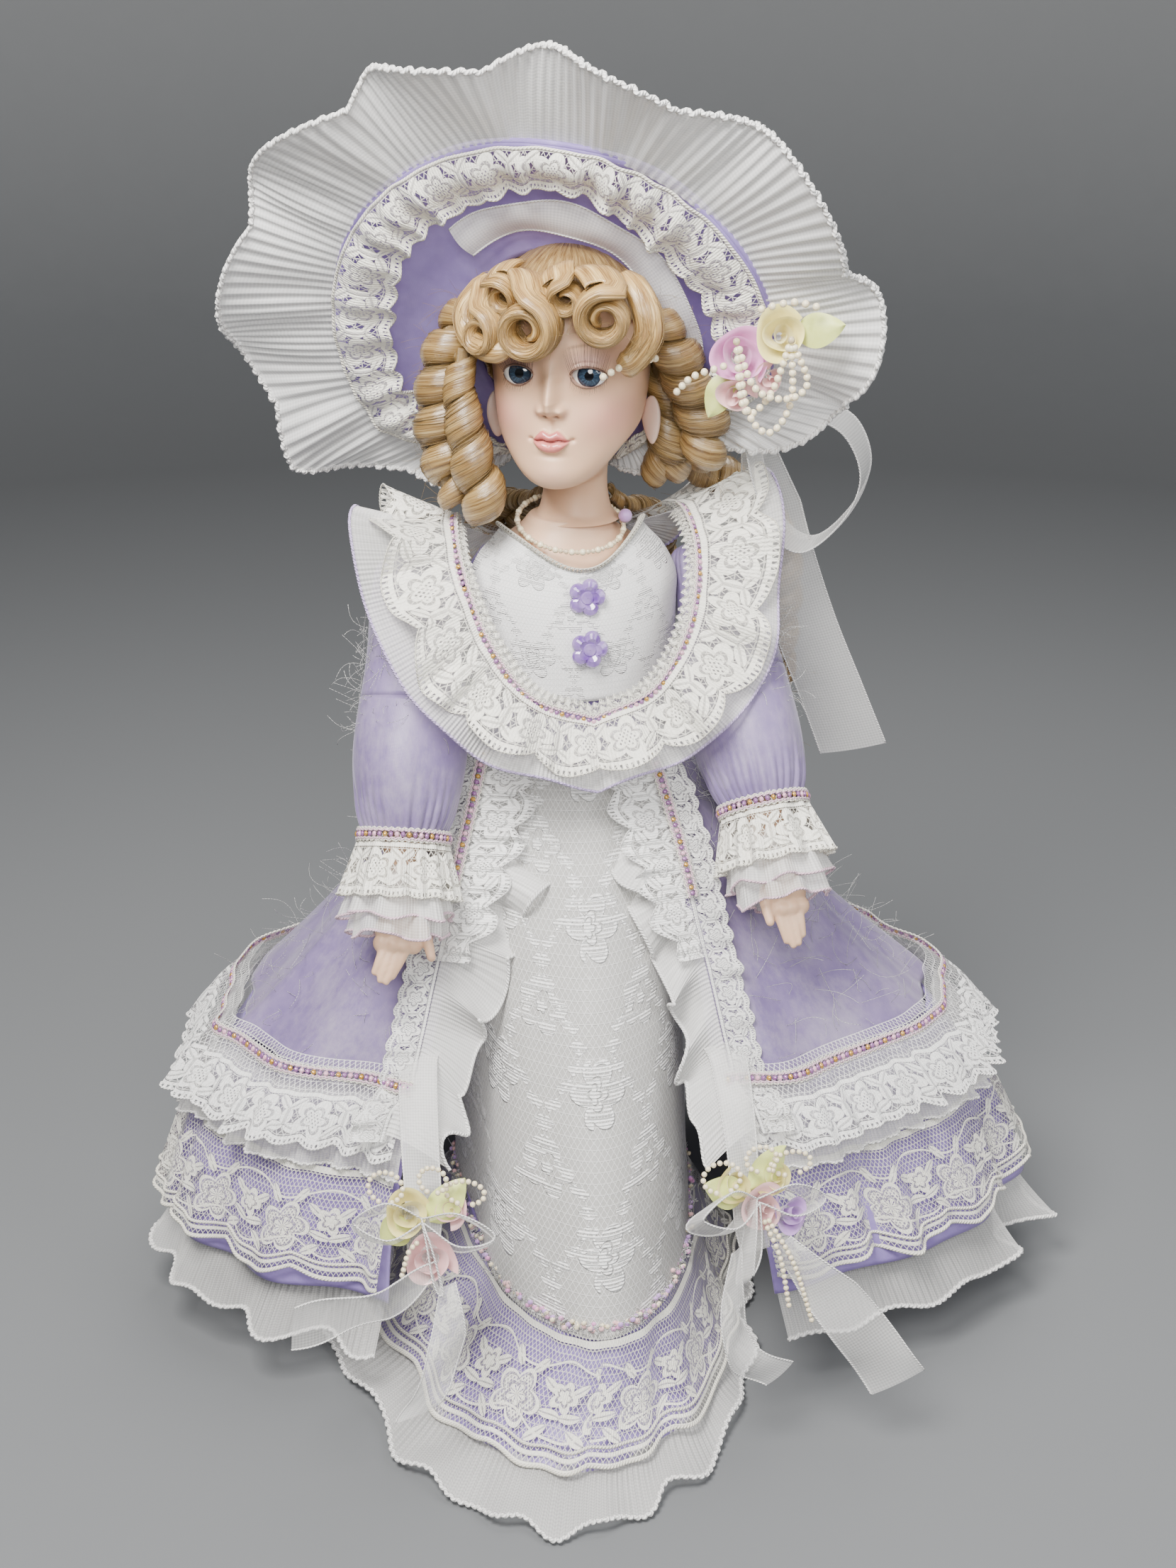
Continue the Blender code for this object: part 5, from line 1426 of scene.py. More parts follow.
def bodice():
    """The bisque shoulders, the satin bodice with its lace yoke, the neckline loops and the necklace."""
    rng = np.random.default_rng(31)
    plate = [(0.2600, 0.0335, 0.0262), (0.2700, 0.0345, 0.0256), (0.2800, 0.0338, 0.0238),
             (0.2880, 0.0305, 0.0205), (0.2940, 0.0225, 0.0172), (0.2985, 0.0163, 0.0148),
             (0.3012, 0.0139, 0.0137), (0.3022, 0.0122, 0.0122), (0.3022, 0.0060, 0.0060)]
    grid, angle = oval_rows(plate, 60, 96)
    z = grid[..., 2]
    bones = np.exp(-((z - 0.2925) / 0.0022) ** 2) * np.exp(-((np.abs(np.sin(angle)) - 0.55) / 0.32) ** 2)
    grid[..., 1] -= 0.0008 * bones * (np.cos(angle) > 0)
    own(grid_mesh("bisque_shoulders", grid[:, ::-1], True, look=bisque()), "figure", "bisque_porcelain",
        "shoulder_plate")

    waist = [(0.2560, 0.0346, 0.0296), (0.2400, 0.0343, 0.0293), (0.2220, 0.0341, 0.0288),
             (0.2035, 0.0352, 0.0304)]
    grid, angle = oval_rows(waist, 40, 240)
    folds = 0.0007 * sway(angle, rng, 9, 25, 6)
    grid[..., :2] *= 1 + (folds / 0.03)[None, :, None] * np.linspace(0.3, 1, 40)[:, None, None]
    cloth("bodice_satin", grid, lavender_satin(0), "lavender_satin", "figure", ["bodice"], True, 0.0008)

    back = [(0.2900, 0.0300, 0.0208), (0.2860, 0.0330, 0.0232), (0.2800, 0.0356, 0.0258),
            (0.2700, 0.0362, 0.0277), (0.2600, 0.0352, 0.0286), (0.2535, 0.0347, 0.0298)]
    grid, angle = oval_rows(back, 26, 130, np.radians(np.linspace(74, 286, 130)))
    folds = 0.0006 * sway(angle, rng, 9, 25, 6)
    grid[..., :2] *= 1 + (folds / 0.03)[None, :, None] * np.linspace(0.2, 1, 26)[:, None, None]
    cloth("bodice_back_satin", grid, lavender_satin(0), "lavender_satin", "figure", ["bodice"], False, 0.0008)

    side = math.radians(76)
    front = [(0.3005, 0.0225, 0.0188), (0.2965, 0.0262, 0.0210), (0.2910, 0.0315, 0.0240),
             (0.2820, 0.0362, 0.0282), (0.2720, 0.0368, 0.0315), (0.2600, 0.0368, 0.0334),
             (0.2450, 0.0364, 0.0337)]
    grid, angle = oval_rows(front, 50, 150, np.linspace(-side, side, 150))
    scoop = np.exp(-(angle / 0.80) ** 2) * 0.0125
    fade = np.linspace(1, 0, 50)[:, None] ** 1.6
    grid[..., 2] -= scoop * fade
    grid[..., 1] -= (scoop * 0.62) * fade
    grid[..., 0] *= 1 + 0.10 * fade
    yoke = cloth("yoke_lace_front", grid, lace("yoke", 1), "cream_lace", "figure", ["yoke_front"],
                 zoom=1.7)
    yoke.modifiers.new("thickness", "SOLIDIFY").thickness = 0.0006
    rim = grid[0]
    loops = []
    for k in range(len(rim) * 2 // 3):
        centre = rim[min(len(rim) - 1, int(k * 1.5))]
        lift = unit(np.array((centre[0], centre[1], 0.030)))
        bow = [centre + lift * (0.0013 - 0.0013 * math.cos(a)) + np.array((0.0009 * math.sin(a), 0, 0))
               for a in np.linspace(0, TAU, 9)]
        loops.append(tube_part(np.array(bow), 0.00026, 4))
    own(make("neckline_loops", loops + [tube_part(rim, 0.0006, 6)], look=thread("cream")), "figure",
        "cream_lace")
    for name, z, y in (("upper", 0.2810, -0.0316), ("lower", 0.2640, -0.0355)):
        flower_button(name, z, y)
    beads = []
    pairs = []
    for k, a in enumerate(np.linspace(0, TAU, 62, endpoint=False)):
        at = np.array((0.0181 * math.sin(a), -0.0046 - 0.0206 * math.cos(a), 0.2999 - 0.0050 * math.cos(a)))
        long = k % 3 != 0
        pairs.append((ball_part(at, 0.00092 if long else 0.00118, 9, 6),
                      plain("clear_bead" if long else "pearl")))
        beads.append(at)
    big = np.array((0.0185, -0.0080, 0.3020))
    pairs.append((ball_part(big, 0.0024, 16, 10), plain("lilac_rose")))
    beads.append(beads[0])
    pairs.append((tube_part(np.array(beads), 0.0003, 4), thread("cream")))
    own(group("bead_necklace", pairs), "figure", "cream_pearl", "necklace")


def flower_button(name, z, y):
    """A faceted five-petal button with a round middle."""
    tilt = Matrix.Rotation(math.radians(84), 3, "X")
    rows = []
    a = np.linspace(0, TAU, 80, endpoint=False)
    lobes = 0.72 + 0.28 * np.abs(np.cos(2.5 * a)) ** 0.7
    for k, height in ((0.02, 0.0017), (0.30, 0.0016), (0.34, 0.0010), (0.62, 0.0017), (0.90, 0.0011),
                      (1.0, 0.0004), (0.96, -0.0009), (0.02, -0.0009)):
        shape = lobes if k > 0.4 else np.ones_like(a)
        ridge = 0.0006 * np.abs(np.cos(2.5 * a)) if 0.4 < k < 0.95 else 0.0
        size = 0.0066 * k * shape
        rows.append(np.stack([size * np.cos(a), size * np.sin(a), height + ridge + 0 * a], -1))
    grid = np.array(rows)[:, ::-1] @ np.array(tilt).T + np.array((0, y, z))
    button = own(grid_mesh(f"{name}_flower_button", grid, True, look=acrylic()), "figure", "lilac_acrylic",
                 f"{name}_button")
    button.data.shade_flat()


COLLAR_IN = [(0.0, -0.0392, 0.2425), (0.0200, -0.0388, 0.2510), (0.0325, -0.0330, 0.2700),
             (0.0380, -0.0200, 0.2900), (0.0370, -0.0020, 0.3010), (0.0310, 0.0150, 0.2970),
             (0.0170, 0.0245, 0.2900), (0.0, 0.0270, 0.2880)]
COLLAR_OUT = [(0.0, -0.0530, 0.2200), (0.0340, -0.0515, 0.2310), (0.0600, -0.0430, 0.2530),
              (0.0705, -0.0240, 0.2840), (0.0710, 0.0, 0.3030), (0.0570, 0.0250, 0.2910),
              (0.0300, 0.0380, 0.2730), (0.0, 0.0410, 0.2690)]

# A collar point this near the middle, and one this far out: the script works them out but nothing uses them.
COLLAR_STILL, COLLAR_MOVES = 0.036, 0.080


def collar_rows(spreads, cols):
    """Loops round the yoke, wider as spread grows, as evenly spaced points from the front by +X."""
    rows = []
    for s in spreads:
        half = np.array(COLLAR_IN) * (1 - s) + np.array(COLLAR_OUT) * s
        line = spline(half, cols // 2 + 1)
        other = line[-2:0:-1] * (-1, 1, 1)
        rows.append(np.vstack([line, other]))
    return np.array(rows)


def collar_halves(node, grid, look, zoom, size, edge):
    """Half a frill over each shoulder, with a cord along its free edge."""
    half = grid.shape[1] // 2
    closed = np.concatenate([grid, grid[:, :1]], 1)
    uv = uv_of(grid, True) * zoom
    for side, name, cols in ((1, "left", slice(0, half + 1)), (-1, "right", slice(half, 2 * half + 1))):
        rows = closed[:, cols]
        frill = grid_mesh(f"{node}_{name}", rows, False, uv[:, cols], look=look)
        cord = make(f"{node}_edge_{name}", [tube_part(rows[-1], size, 5)], look=edge)
        for piece in (frill, cord):
            side * COLLAR_STILL
            side * COLLAR_MOVES
            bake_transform(piece)
        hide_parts(node)


def collar():
    """Two ruffles round the yoke, its beaded braid and the narrow lace inside it."""
    rng = np.random.default_rng(41)
    cols = 1600
    t = np.linspace(0, TAU, cols, endpoint=False)
    fold, gather = sway(t, rng, 10, 17, 4), sway(t, rng, 23, 41, 6)
    k = np.linspace(0, 1, 24)
    rows = collar_rows(k * 0.86, cols)
    out = normals(rows, True)
    out *= np.sign(np.sum(out[10] * (rows[10] - (0, 0, 0.2)), -1).mean())
    push = 0.0012 + np.maximum(0.0056 * fold + 0.0020 * gather + 0.0036, -0.0004)[None] * k[:, None] ** 1.1
    grid = rows + out * push[..., None]
    reach = rows[-1] - rows[0]
    lobes = np.abs(np.sin(t * 8.5 + 0.4 * np.sin(t * 3))) ** 0.8
    grid += reach[None] * ((lobes - 0.72) * 0.24)[None, :, None] * k[:, None, None] ** 2.5
    stand = 0.0085 * np.exp(-((t - 1.75) / 0.42) ** 2) + 0.0010 * np.exp(-((t - TAU + 1.75) / 0.42) ** 2)
    grid[..., 2] += stand * k[:, None] ** 1.3
    collar_halves("collar_lace", grid, lace("small"), 0.50, 0.00028,
                  thread("cream"))

    fine = np.linspace(0, TAU, 2600, endpoint=False)
    slow = sway(fine, rng, 8, 15, 4)
    crimp = np.sin(330 * fine)
    k = np.linspace(0, 1, 14)
    rows = collar_rows(0.10 + 0.90 * k, 2600)
    out = normals(rows, True)
    out *= np.sign(np.sum(out[7] * (rows[7] - (0, 0, 0.2)), -1).mean())
    push = -0.0018 + 0.00022 * crimp[None] + (0.0040 * slow[None] + 0.0004) * k[:, None] ** 1.2
    grid = rows + out * push[..., None]
    stand = (0.0135 * np.exp(-((fine - 1.85) / 0.45) ** 2)
             + 0.0060 * np.exp(-((fine - TAU + 1.85) / 0.45) ** 2))
    grid[..., 2] += stand * k[:, None] ** 1.2
    grid[..., 0] += -0.0040 * np.exp(-((fine - TAU + 1.5) / 0.5) ** 2) * k[:, None]
    collar_halves("collar_organza", grid, organza("white", 0.52), 1.0,
                  0.0005, thread("lavender"))

    front = np.abs(np.linspace(-1, 1, 401)) * 0.60
    half = spline(np.array(COLLAR_IN) * 0.93 + np.array(COLLAR_OUT) * 0.07, 1001)
    sides = np.stack([np.sign(np.linspace(-1, 1, 401)), *np.ones((2, 401))], -1)
    line = half[(front * 1000).astype(int)] * sides
    face = unit(line - np.array((0, 0.02, 0.255)))
    braid("yoke_braid", line + face * 0.0016, face, "figure")
    inner = line + face * 0.0006
    middle = unit(np.array((0, -0.034, 0.272)) - line)
    n = np.linspace(0, 1, 401)
    frill = [inner + middle * (0.0012 + 0.0042 * k) + face * (0.0007 * np.sin(n * 420) * (0.4 + k)
                                                              + 0.0004)[:, None]
             for k in np.linspace(0, 1, 6)]
    piece = grid_mesh("yoke_inner_trim", np.array(frill), False, uv_of(np.array(frill)), look=lace("small"))
    own(piece, "figure", "cream_lace")


# ---- the arms ------------------------------------------------------------------------------------
SHOULDER_X, SHOULDER_Z = 0.0525, 0.276
HAND_TIP = {1: np.array((0.064, -0.073, 0.163)), -1: np.array((-0.072, -0.057, 0.153))}


def arm_axes(side):
    """The shoulder, and directions down the arm, outwards across it and to its front."""
    shoulder = np.array((side * SHOULDER_X, 0.0, SHOULDER_Z))
    down = unit(HAND_TIP[side] - shoulder)
    across = np.array((side, 0.0, 0.0))
    across = unit(across - across.dot(down) * down)
    return shoulder, down, across, -np.cross(across, down) * side


def arm_rows(side, at, wide, deep, angle, offset=0.0):
    """Rings round the arm at distances down it. The grid's points run so that its faces look outwards."""
    shoulder, down, across, front = arm_axes(side)
    at, wide, deep = (np.asarray(v, float)[:, None] for v in (at, wide, deep))
    c, s = np.cos(angle)[None], np.sin(angle)[None] * side
    return (shoulder + (at + 0 * c)[..., None] * down + ((wide + offset) * c)[..., None] * across
            + ((deep + offset) * s)[..., None] * front)


def arm(side):
    """The sleeve in two parts, and what is on its end."""
    name = "left" if side > 0 else "right"
    rng = np.random.default_rng(50 + side)
    angle = np.linspace(0, TAU, 260, endpoint=False)
    sections = spline([(-0.0128, 0.0010, 0.0010), (-0.0126, 0.0052, 0.0052), (-0.0115, 0.0098, 0.0098),
                       (-0.0090, 0.0134, 0.0134), (-0.0020, 0.0150, 0.0155),
                       (0.0180, 0.0160, 0.0168), (0.0400, 0.0176, 0.0182), (0.0600, 0.0184, 0.0186),
                       (0.0740, 0.0166, 0.0166), (0.0825, 0.0134, 0.0134)], 110)
    at = sections[:, 0]
    slant = at[:, None] * 55
    t = (at - at[0]) / (at[-1] - at[0])
    folds = (np.sin(3 * angle[None] + slant + 1) * 0.5 + np.sin(5 * angle[None] - slant * 1.3) * 0.35
             + np.sin(2 * angle[None] + slant * 2.1 + 2) * 0.4)
    gathers = sway(angle, rng, 18, 40, 6)[None] * (np.exp(-((1 - t) / 0.12) ** 2)
                                                   + 0.7 * np.exp(-(t / 0.14) ** 2))[:, None]
    drop = np.exp(-((t - 0.72) / 0.22) ** 2)[:, None] * np.clip(-np.sin(angle), 0, 1)[None] * 0.0022
    offset = folds * (0.0009 * np.sin(math.pi * t) ** 0.7)[:, None] + gathers * 0.0008 + drop
    grid = arm_rows(side, at, sections[:, 1], sections[:, 2], angle, offset)
    cut = int(np.searchsorted(at, 0.036))
    shoulder, down, _, _ = arm_axes(side)
    upper = grid_mesh(f"{name}_sleeve_top", grid[:cut + 1], True, uv_of(grid[:cut + 1], True), 0.0009,
                      lavender_satin())
    lower = grid_mesh(f"{name}_sleeve_end", grid[cut:], True, uv_of(grid[cut:], True), 0.0009,
                      lavender_satin())
    tuple(shoulder - down * 0.010)
    tuple(shoulder + down * 0.022)
    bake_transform(upper)
    tuple(shoulder + down * 0.044)
    tuple(shoulder + down * 0.066)
    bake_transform(lower)
    for piece, rows in ((upper, grid[:cut + 1]), (lower, grid[cut:])):
        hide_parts(f"{name}_sleeve")
    cuff(side, name, rng)
    hand(side, name)
    paint(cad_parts[f"{name}_upper_arm"], cotton())


def cuff(side, name, rng):
    fine = np.linspace(0, TAU, 700, endpoint=False)
    gathers = sway(fine, rng, 9, 19, 5)
    body = f"{name}_hand"
    k = np.linspace(0, 1, 16)
    base = np.interp(k, (0, 0.15, 1), (0.0140, 0.0146, 0.0196))
    scallop = 0.0009 * np.abs(np.sin(fine * 6))
    rows = arm_rows(side, 0.0790 + 0.0245 * k, base, base, fine, 0.0022 * gathers[None] * k[:, None])
    _, down, _, _ = arm_axes(side)
    rows = rows + (scallop[None] * k[:, None] ** 3)[..., None] * down
    cloth(f"{name}_cuff_lace", rows, lace("small"), "cream_lace", body, [f"{name}_cuff"], True, 0.0,
          0.6)
    own(make(f"{name}_cuff_edge", [edge_cord(rows[-1], 0.0004, True)], look=thread("cream")), body,
        "cream_lace")
    for layer, (start, long, wide) in enumerate(((0.0935, 0.0170, 0.0130), (0.0955, 0.0215, 0.0118))):
        crimp = np.sin(fine * 90)
        puffs = sway(fine, rng, 5, 10, 4)
        spread = np.interp(k, (0, 0.5, 1), (0, 0.0030, 0.0050 - 0.0012 * layer))
        rows = arm_rows(side, start + long * k, wide + spread, wide + spread, fine,
                        (0.0004 + 0.0022 * k[:, None]) * puffs[None] + 0.00012 * crimp[None])
        rows = rows + (0.0016 * sway(fine, rng, 3, 7, 3)[None] * k[:, None] ** 2)[..., None] * down
        cloth(f"{name}_cuff_frill_{layer}", rows, organza("white", 0.5), "white_organza", body, (), True, 0.0)
        own(make(f"{name}_cuff_frill_edge_{layer}", [edge_cord(rows[-1], 0.0005, True)], look=thread("pink")),
            body, "white_organza")
    ring = arm_rows(side, [0.0835], [0.0156], [0.0156], np.linspace(0, TAU, 200))[0]
    middle = ring.mean(0)
    braid(f"{name}_cuff_braid", ring, unit(ring - middle), body)


def hand(side, name):
    """The bisque forearm, palm, fingers and thumb, fused and smoothed."""
    shoulder, down, across, front = arm_axes(side)

    def at(along, out, ahead):
        return shoulder + down * along + across * out + front * ahead

    arm_line = np.array([at(a, 0, 0) for a in np.linspace(0.060, 0.108, 12)])
    parts = [tube_part(arm_line, np.interp(np.linspace(0, 1, 12), (0, 0.2, 1), (0.0076, 0.0081, 0.0056)), 18)]
    palm = [(0.105, 0.0, 0.0, 0.0055), (0.110, -0.0022, 0.0002, 0.0050), (0.110, 0.0022, 0.0002, 0.0050),
            (0.115, -0.0042, 0.0005, 0.0042), (0.115, 0.0, 0.0008, 0.0044), (0.115, 0.0042, 0.0005, 0.0042),
            (0.120, -0.0052, 0.0006, 0.0034), (0.120, -0.0017, 0.0012, 0.0036),
            (0.120, 0.0017, 0.0012, 0.0036), (0.120, 0.0052, 0.0006, 0.0034)]
    parts += [ball_part(at(a, o, f), r, 14, 10) for a, o, f, r in palm]
    spread = 1.0 if side < 0 else 0.25
    for out, long in ((-0.0038, 0.0128), (-0.0013, 0.0148), (0.0013, 0.0142), (0.0038, 0.0116)):
        tip = out * 0.80 + 0.0042 * spread
        line = spline([at(0.1185, out * 0.95, 0.0006), at(0.1185 + long * 0.5, (out + tip) / 2, 0.0016),
                       at(0.1185 + long * 0.98, tip, 0.0002)], 10)
        parts.append(tube_part(line, np.linspace(0.0022, 0.0013, 10), 10))
        parts.append(ball_part(line[-1], 0.0013, 10, 8))
    line = spline([at(0.1090, -0.0035, 0.0010), at(0.1155, -0.0066 - 0.0020 * spread, 0.0026),
                   at(0.1240, -0.0058 - 0.0056 * spread, 0.0032)], 10)
    parts.append(tube_part(line, np.linspace(0.0028, 0.0016, 10), 10))
    parts.append(ball_part(line[-1], 0.0016, 10, 8))
    obj = make(f"{name}_bisque_hand", parts, look=bisque())
    fuse = obj.modifiers.new("fuse", "REMESH")
    fuse.mode, fuse.voxel_size, fuse.use_smooth_shade = "VOXEL", 0.00045, True
    smooth = obj.modifiers.new("smooth", "SMOOTH")
    smooth.factor, smooth.iterations = 0.6, 7
    own(obj, f"{name}_hand", "bisque_porcelain", f"{name}_forearm")


# ---- the skirts ----------------------------------------------------------------------------------
# Height, half width, depth in front and behind, and the half angle of the front opening in degrees.
OVERSKIRT = [(0.2235, 0.0370, 0.0320, 0.0315, 47), (0.2220, 0.0395, 0.0335, 0.0330, 46),
             (0.2000, 0.0520, 0.0410, 0.0450, 42), (0.1700, 0.0760, 0.0520, 0.0660, 34),
             (0.1400, 0.1040, 0.0640, 0.0880, 29), (0.1160, 0.1290, 0.0745, 0.1050, 26)]
TRIM = [(0.1230, 0.1285, 0.0755, 0.1035, 26), (0.1160, 0.1385, 0.0800, 0.1100, 26),
        (0.1080, 0.1475, 0.0855, 0.1155, 26), (0.0975, 0.1560, 0.0905, 0.1215, 26)]
FRILL = [(0.1150, 0.1340, 0.0775, 0.1070, 26), (0.1050, 0.1440, 0.0840, 0.1140, 26),
         (0.0950, 0.1510, 0.0885, 0.1180, 26), (0.0880, 0.1545, 0.0905, 0.1200, 26)]
TIER = [(0.1130, 0.1290, 0.0735, 0.1030, 27), (0.0900, 0.1450, 0.0825, 0.1120, 27),
        (0.0640, 0.1580, 0.0910, 0.1180, 27), (0.0425, 0.1640, 0.0970, 0.1230, 27)]
TIER_LACE = [(0.0960, 0.1425, 0.0815, 0.1105, 27), (0.0800, 0.1530, 0.0880, 0.1160, 27),
             (0.0640, 0.1600, 0.0930, 0.1205, 27), (0.0495, 0.1655, 0.0980, 0.1250, 27)]
HEM = [(0.0570, 0.1545, 0.0865, 0.1155, 28), (0.0380, 0.1640, 0.0940, 0.1220, 28),
       (0.0225, 0.1720, 0.1005, 0.1285, 28)]
# The column and its flounce: height, middle, half width, depth in front and behind.
COLUMN = [(0.2210, 0.000, 0.0362, 0.0335, 0.0325), (0.2000, 0.000, 0.0372, 0.0375, 0.0360),
          (0.1800, 0.000, 0.0380, 0.0480, 0.0390), (0.1500, 0.000, 0.0395, 0.0640, 0.0430),
          (0.1150, 0.000, 0.0405, 0.0820, 0.0470), (0.0750, 0.000, 0.0415, 0.1000, 0.0510),
          (0.0430, 0.000, 0.0430, 0.1125, 0.0550)]
FLOUNCE = [(0.0470, 0.000, 0.0418, 0.1100, 0.0535), (0.0400, 0.000, 0.0440, 0.1130, 0.0560),
           (0.0200, -0.005, 0.0580, 0.1245, 0.0600), (0.0085, -0.009, 0.0680, 0.1380, 0.0650)]
FLOUNCE_LACE = [(0.0455, 0.000, 0.0435, 0.1125, 0.0550), (0.0380, 0.000, 0.0470, 0.1160, 0.0580),
                (0.0210, -0.005, 0.0600, 0.1270, 0.0625), (0.0110, -0.008, 0.0690, 0.1390, 0.0670)]
FLOUNCE_HEM = [(0.0165, -0.006, 0.0590, 0.1260, 0.0610), (0.0065, -0.010, 0.0700, 0.1420, 0.0660),
               (0.0020, -0.013, 0.0805, 0.1600, 0.0710)]


def skirt_rows(sections, rows, cols, push=None):
    """An open skirt. push(angle, down) is how far each point stands out."""
    z, half, front, back, opening = (c[:, None] for c in spline(sections, rows).T)
    near, far = np.radians(opening - 8.5), np.radians(opening + 3.5)
    k = np.linspace(0, 1, cols)[None]
    angle = near + (TAU - near - far) * k
    down = np.linspace(0, 1, rows)[:, None]
    out = push(angle, down) if push else 0.0
    shift = 0.014 * (1 - z / 0.222)
    deep = np.where(np.cos(angle) > 0, front, back)
    x, y = shift + (half + out) * np.sin(angle), -(deep + out) * np.cos(angle)
    return turn(np.stack([x, y, z + 0 * angle], -1), SKIRT_TURN)


def round_rows(sections, rows, cols, push=None):
    z, middle, half, front, back = (c[:, None] for c in spline(sections, rows).T)
    angle = np.linspace(0, TAU, cols, endpoint=False)[None]
    down = np.linspace(0, 1, rows)[:, None]
    out = push(angle, down) if push else 0.0
    deep = np.where(np.cos(angle) > 0, front, back)
    x, y = middle + (half + out) * np.sin(angle), -(deep + out) * np.cos(angle)
    return turn(np.stack([x, y, z + 0 * angle], -1), SKIRT_TURN)


def waves(rng, low, high, count, phase_down=0.0):
    """A function of angle and depth down the cloth that makes folds running down it."""
    terms = [(int(k), rng.uniform(0, TAU), rng.uniform(0.6, 1.0)) for k in np.linspace(low, high, count)]

    def fold(angle, down):
        return sum(w * np.sin(k * angle + p + phase_down * down) for k, p, w in terms) / math.sqrt(count)
    return fold


def sheet_from(name, grid, look, slot, nodes=(), closed=False, solid=0.0, edge=None, size=0.0005,
               zoom=1.0):
    piece = cloth(name, grid, look, slot, "figure", nodes, closed, solid, zoom)
    if edge:
        own(make(f"{name}_edge", [edge_cord(grid[-1], size, closed)], look=edge), "figure", slot)
    return piece


def skirts():
    """The open overskirt with its trims, its lace tier and its organza hem."""
    rng = np.random.default_rng(61)
    broad, mid, tight = waves(rng, 7, 14, 5, 0.6), waves(rng, 17, 31, 5, 0.8), waves(rng, 52, 90, 6)

    def satin(angle, down):
        return (0.0030 * broad(angle, down) * down**1.2 + 0.0011 * mid(angle, down) * down**0.8
                + 0.0006 * tight(angle, down) * np.exp(-down * 7))

    grid = skirt_rows(OVERSKIRT, 80, 560, satin)
    sheet_from("overskirt_satin", grid, lavender_satin(), "lavender_satin", ["overskirt"], solid=0.0009)

    def follow(angle, down):
        return 0.0030 * broad(angle, 1.0 + 0 * down) + 0.0011 * mid(angle, 1.0)

    gather = waves(rng, 44, 84, 7)

    def trim(angle, down):
        return follow(angle, down) * 0.8 + 0.0008 + 0.0024 * gather(angle, down) * down

    grid = skirt_rows(TRIM, 16, 2200, trim)
    k = np.linspace(0, 1, 16)[:, None]
    grid[..., 2] -= 0.0016 * np.abs(np.sin(np.linspace(0, 1, 2200) * math.pi * 62))[None] * k**3
    sheet_from("overskirt_trim_lace", grid, lace("small", 1), "cream_lace", ["overskirt_lace"],
               edge=thread("white"), size=0.00045, zoom=0.55)

    def frill(angle, down):
        return (follow(angle, down) * 0.8 - 0.0016 + 0.00035 * np.sin(300 * angle) * (0.3 + down)
                + 0.0020 * gather(angle + 0.05, down) * down)

    grid = skirt_rows(FRILL, 14, 2600, frill)
    sheet_from("overskirt_trim_organza", grid, organza("white", 0.5), "white_organza",
               edge=thread("white"), size=0.00055)
    line = skirt_rows(TRIM, 16, 900, lambda angle, down: follow(angle, down) * 0.8 + 0.0017)[3]
    out = unit(line - np.array((0.005, 0, 0.06)))
    braid("overskirt_braid", line, out, "figure", 0.0013)

    soft = waves(rng, 9, 20, 6, 0.4)

    def tier(angle, down):
        return 0.0024 * soft(angle, down) * (0.3 + down) - 0.0010

    grid = skirt_rows(TIER, 40, 640, tier)
    sheet_from("overskirt_tier_satin", grid, lavender_satin(0), "lavender_satin", ["overskirt_tier"],
               solid=0.0008)
    ruff = waves(rng, 30, 58, 6)

    def laid(angle, down):
        return 0.0024 * soft(angle, down) * (0.3 + down) + 0.0006 + 0.0019 * ruff(angle, down) * (0.2 + down)

    grid = skirt_rows(TIER_LACE, 34, 1500, laid)
    k = np.linspace(0, 1, 34)[:, None]
    dip = np.abs(np.sin(np.linspace(0, 1, 1500) * math.pi * 22))[None]
    grid[..., 2] -= 0.0042 * (dip - 0.5) * k**2
    sheet_from("overskirt_tier_lace", grid, lace("large"), "cream_lace",
               edge=thread("cream"), size=0.0007)
    inner = grid[-5] + unit(grid[-5] - np.array((0.005, 0, 0.05))) * 0.0005
    own(make("overskirt_tier_cord", [tube_part(inner, 0.0006, 5)], look=thread("cream")), "figure",
        "cream_lace")

    def hem(angle, down):
        return (0.0022 * soft(angle, down) * (0.3 + down) - 0.0026 + 0.0004 * np.sin(340 * angle)
                + 0.0040 * ruff(angle * 0.5, down) * down**1.5)

    grid = skirt_rows(HEM, 16, 3000, hem)
    ripple = 0.0016 * np.sin(np.linspace(0, 1, 3000) * TAU * 24)[None]
    grid[..., 2] += ripple * np.linspace(0, 1, 16)[:, None] ** 2
    sheet_from("overskirt_hem_organza", grid, organza("white", 0.45), "white_organza", ["overskirt_hem"],
               edge=thread("white"), size=0.0008)
    column(rng)


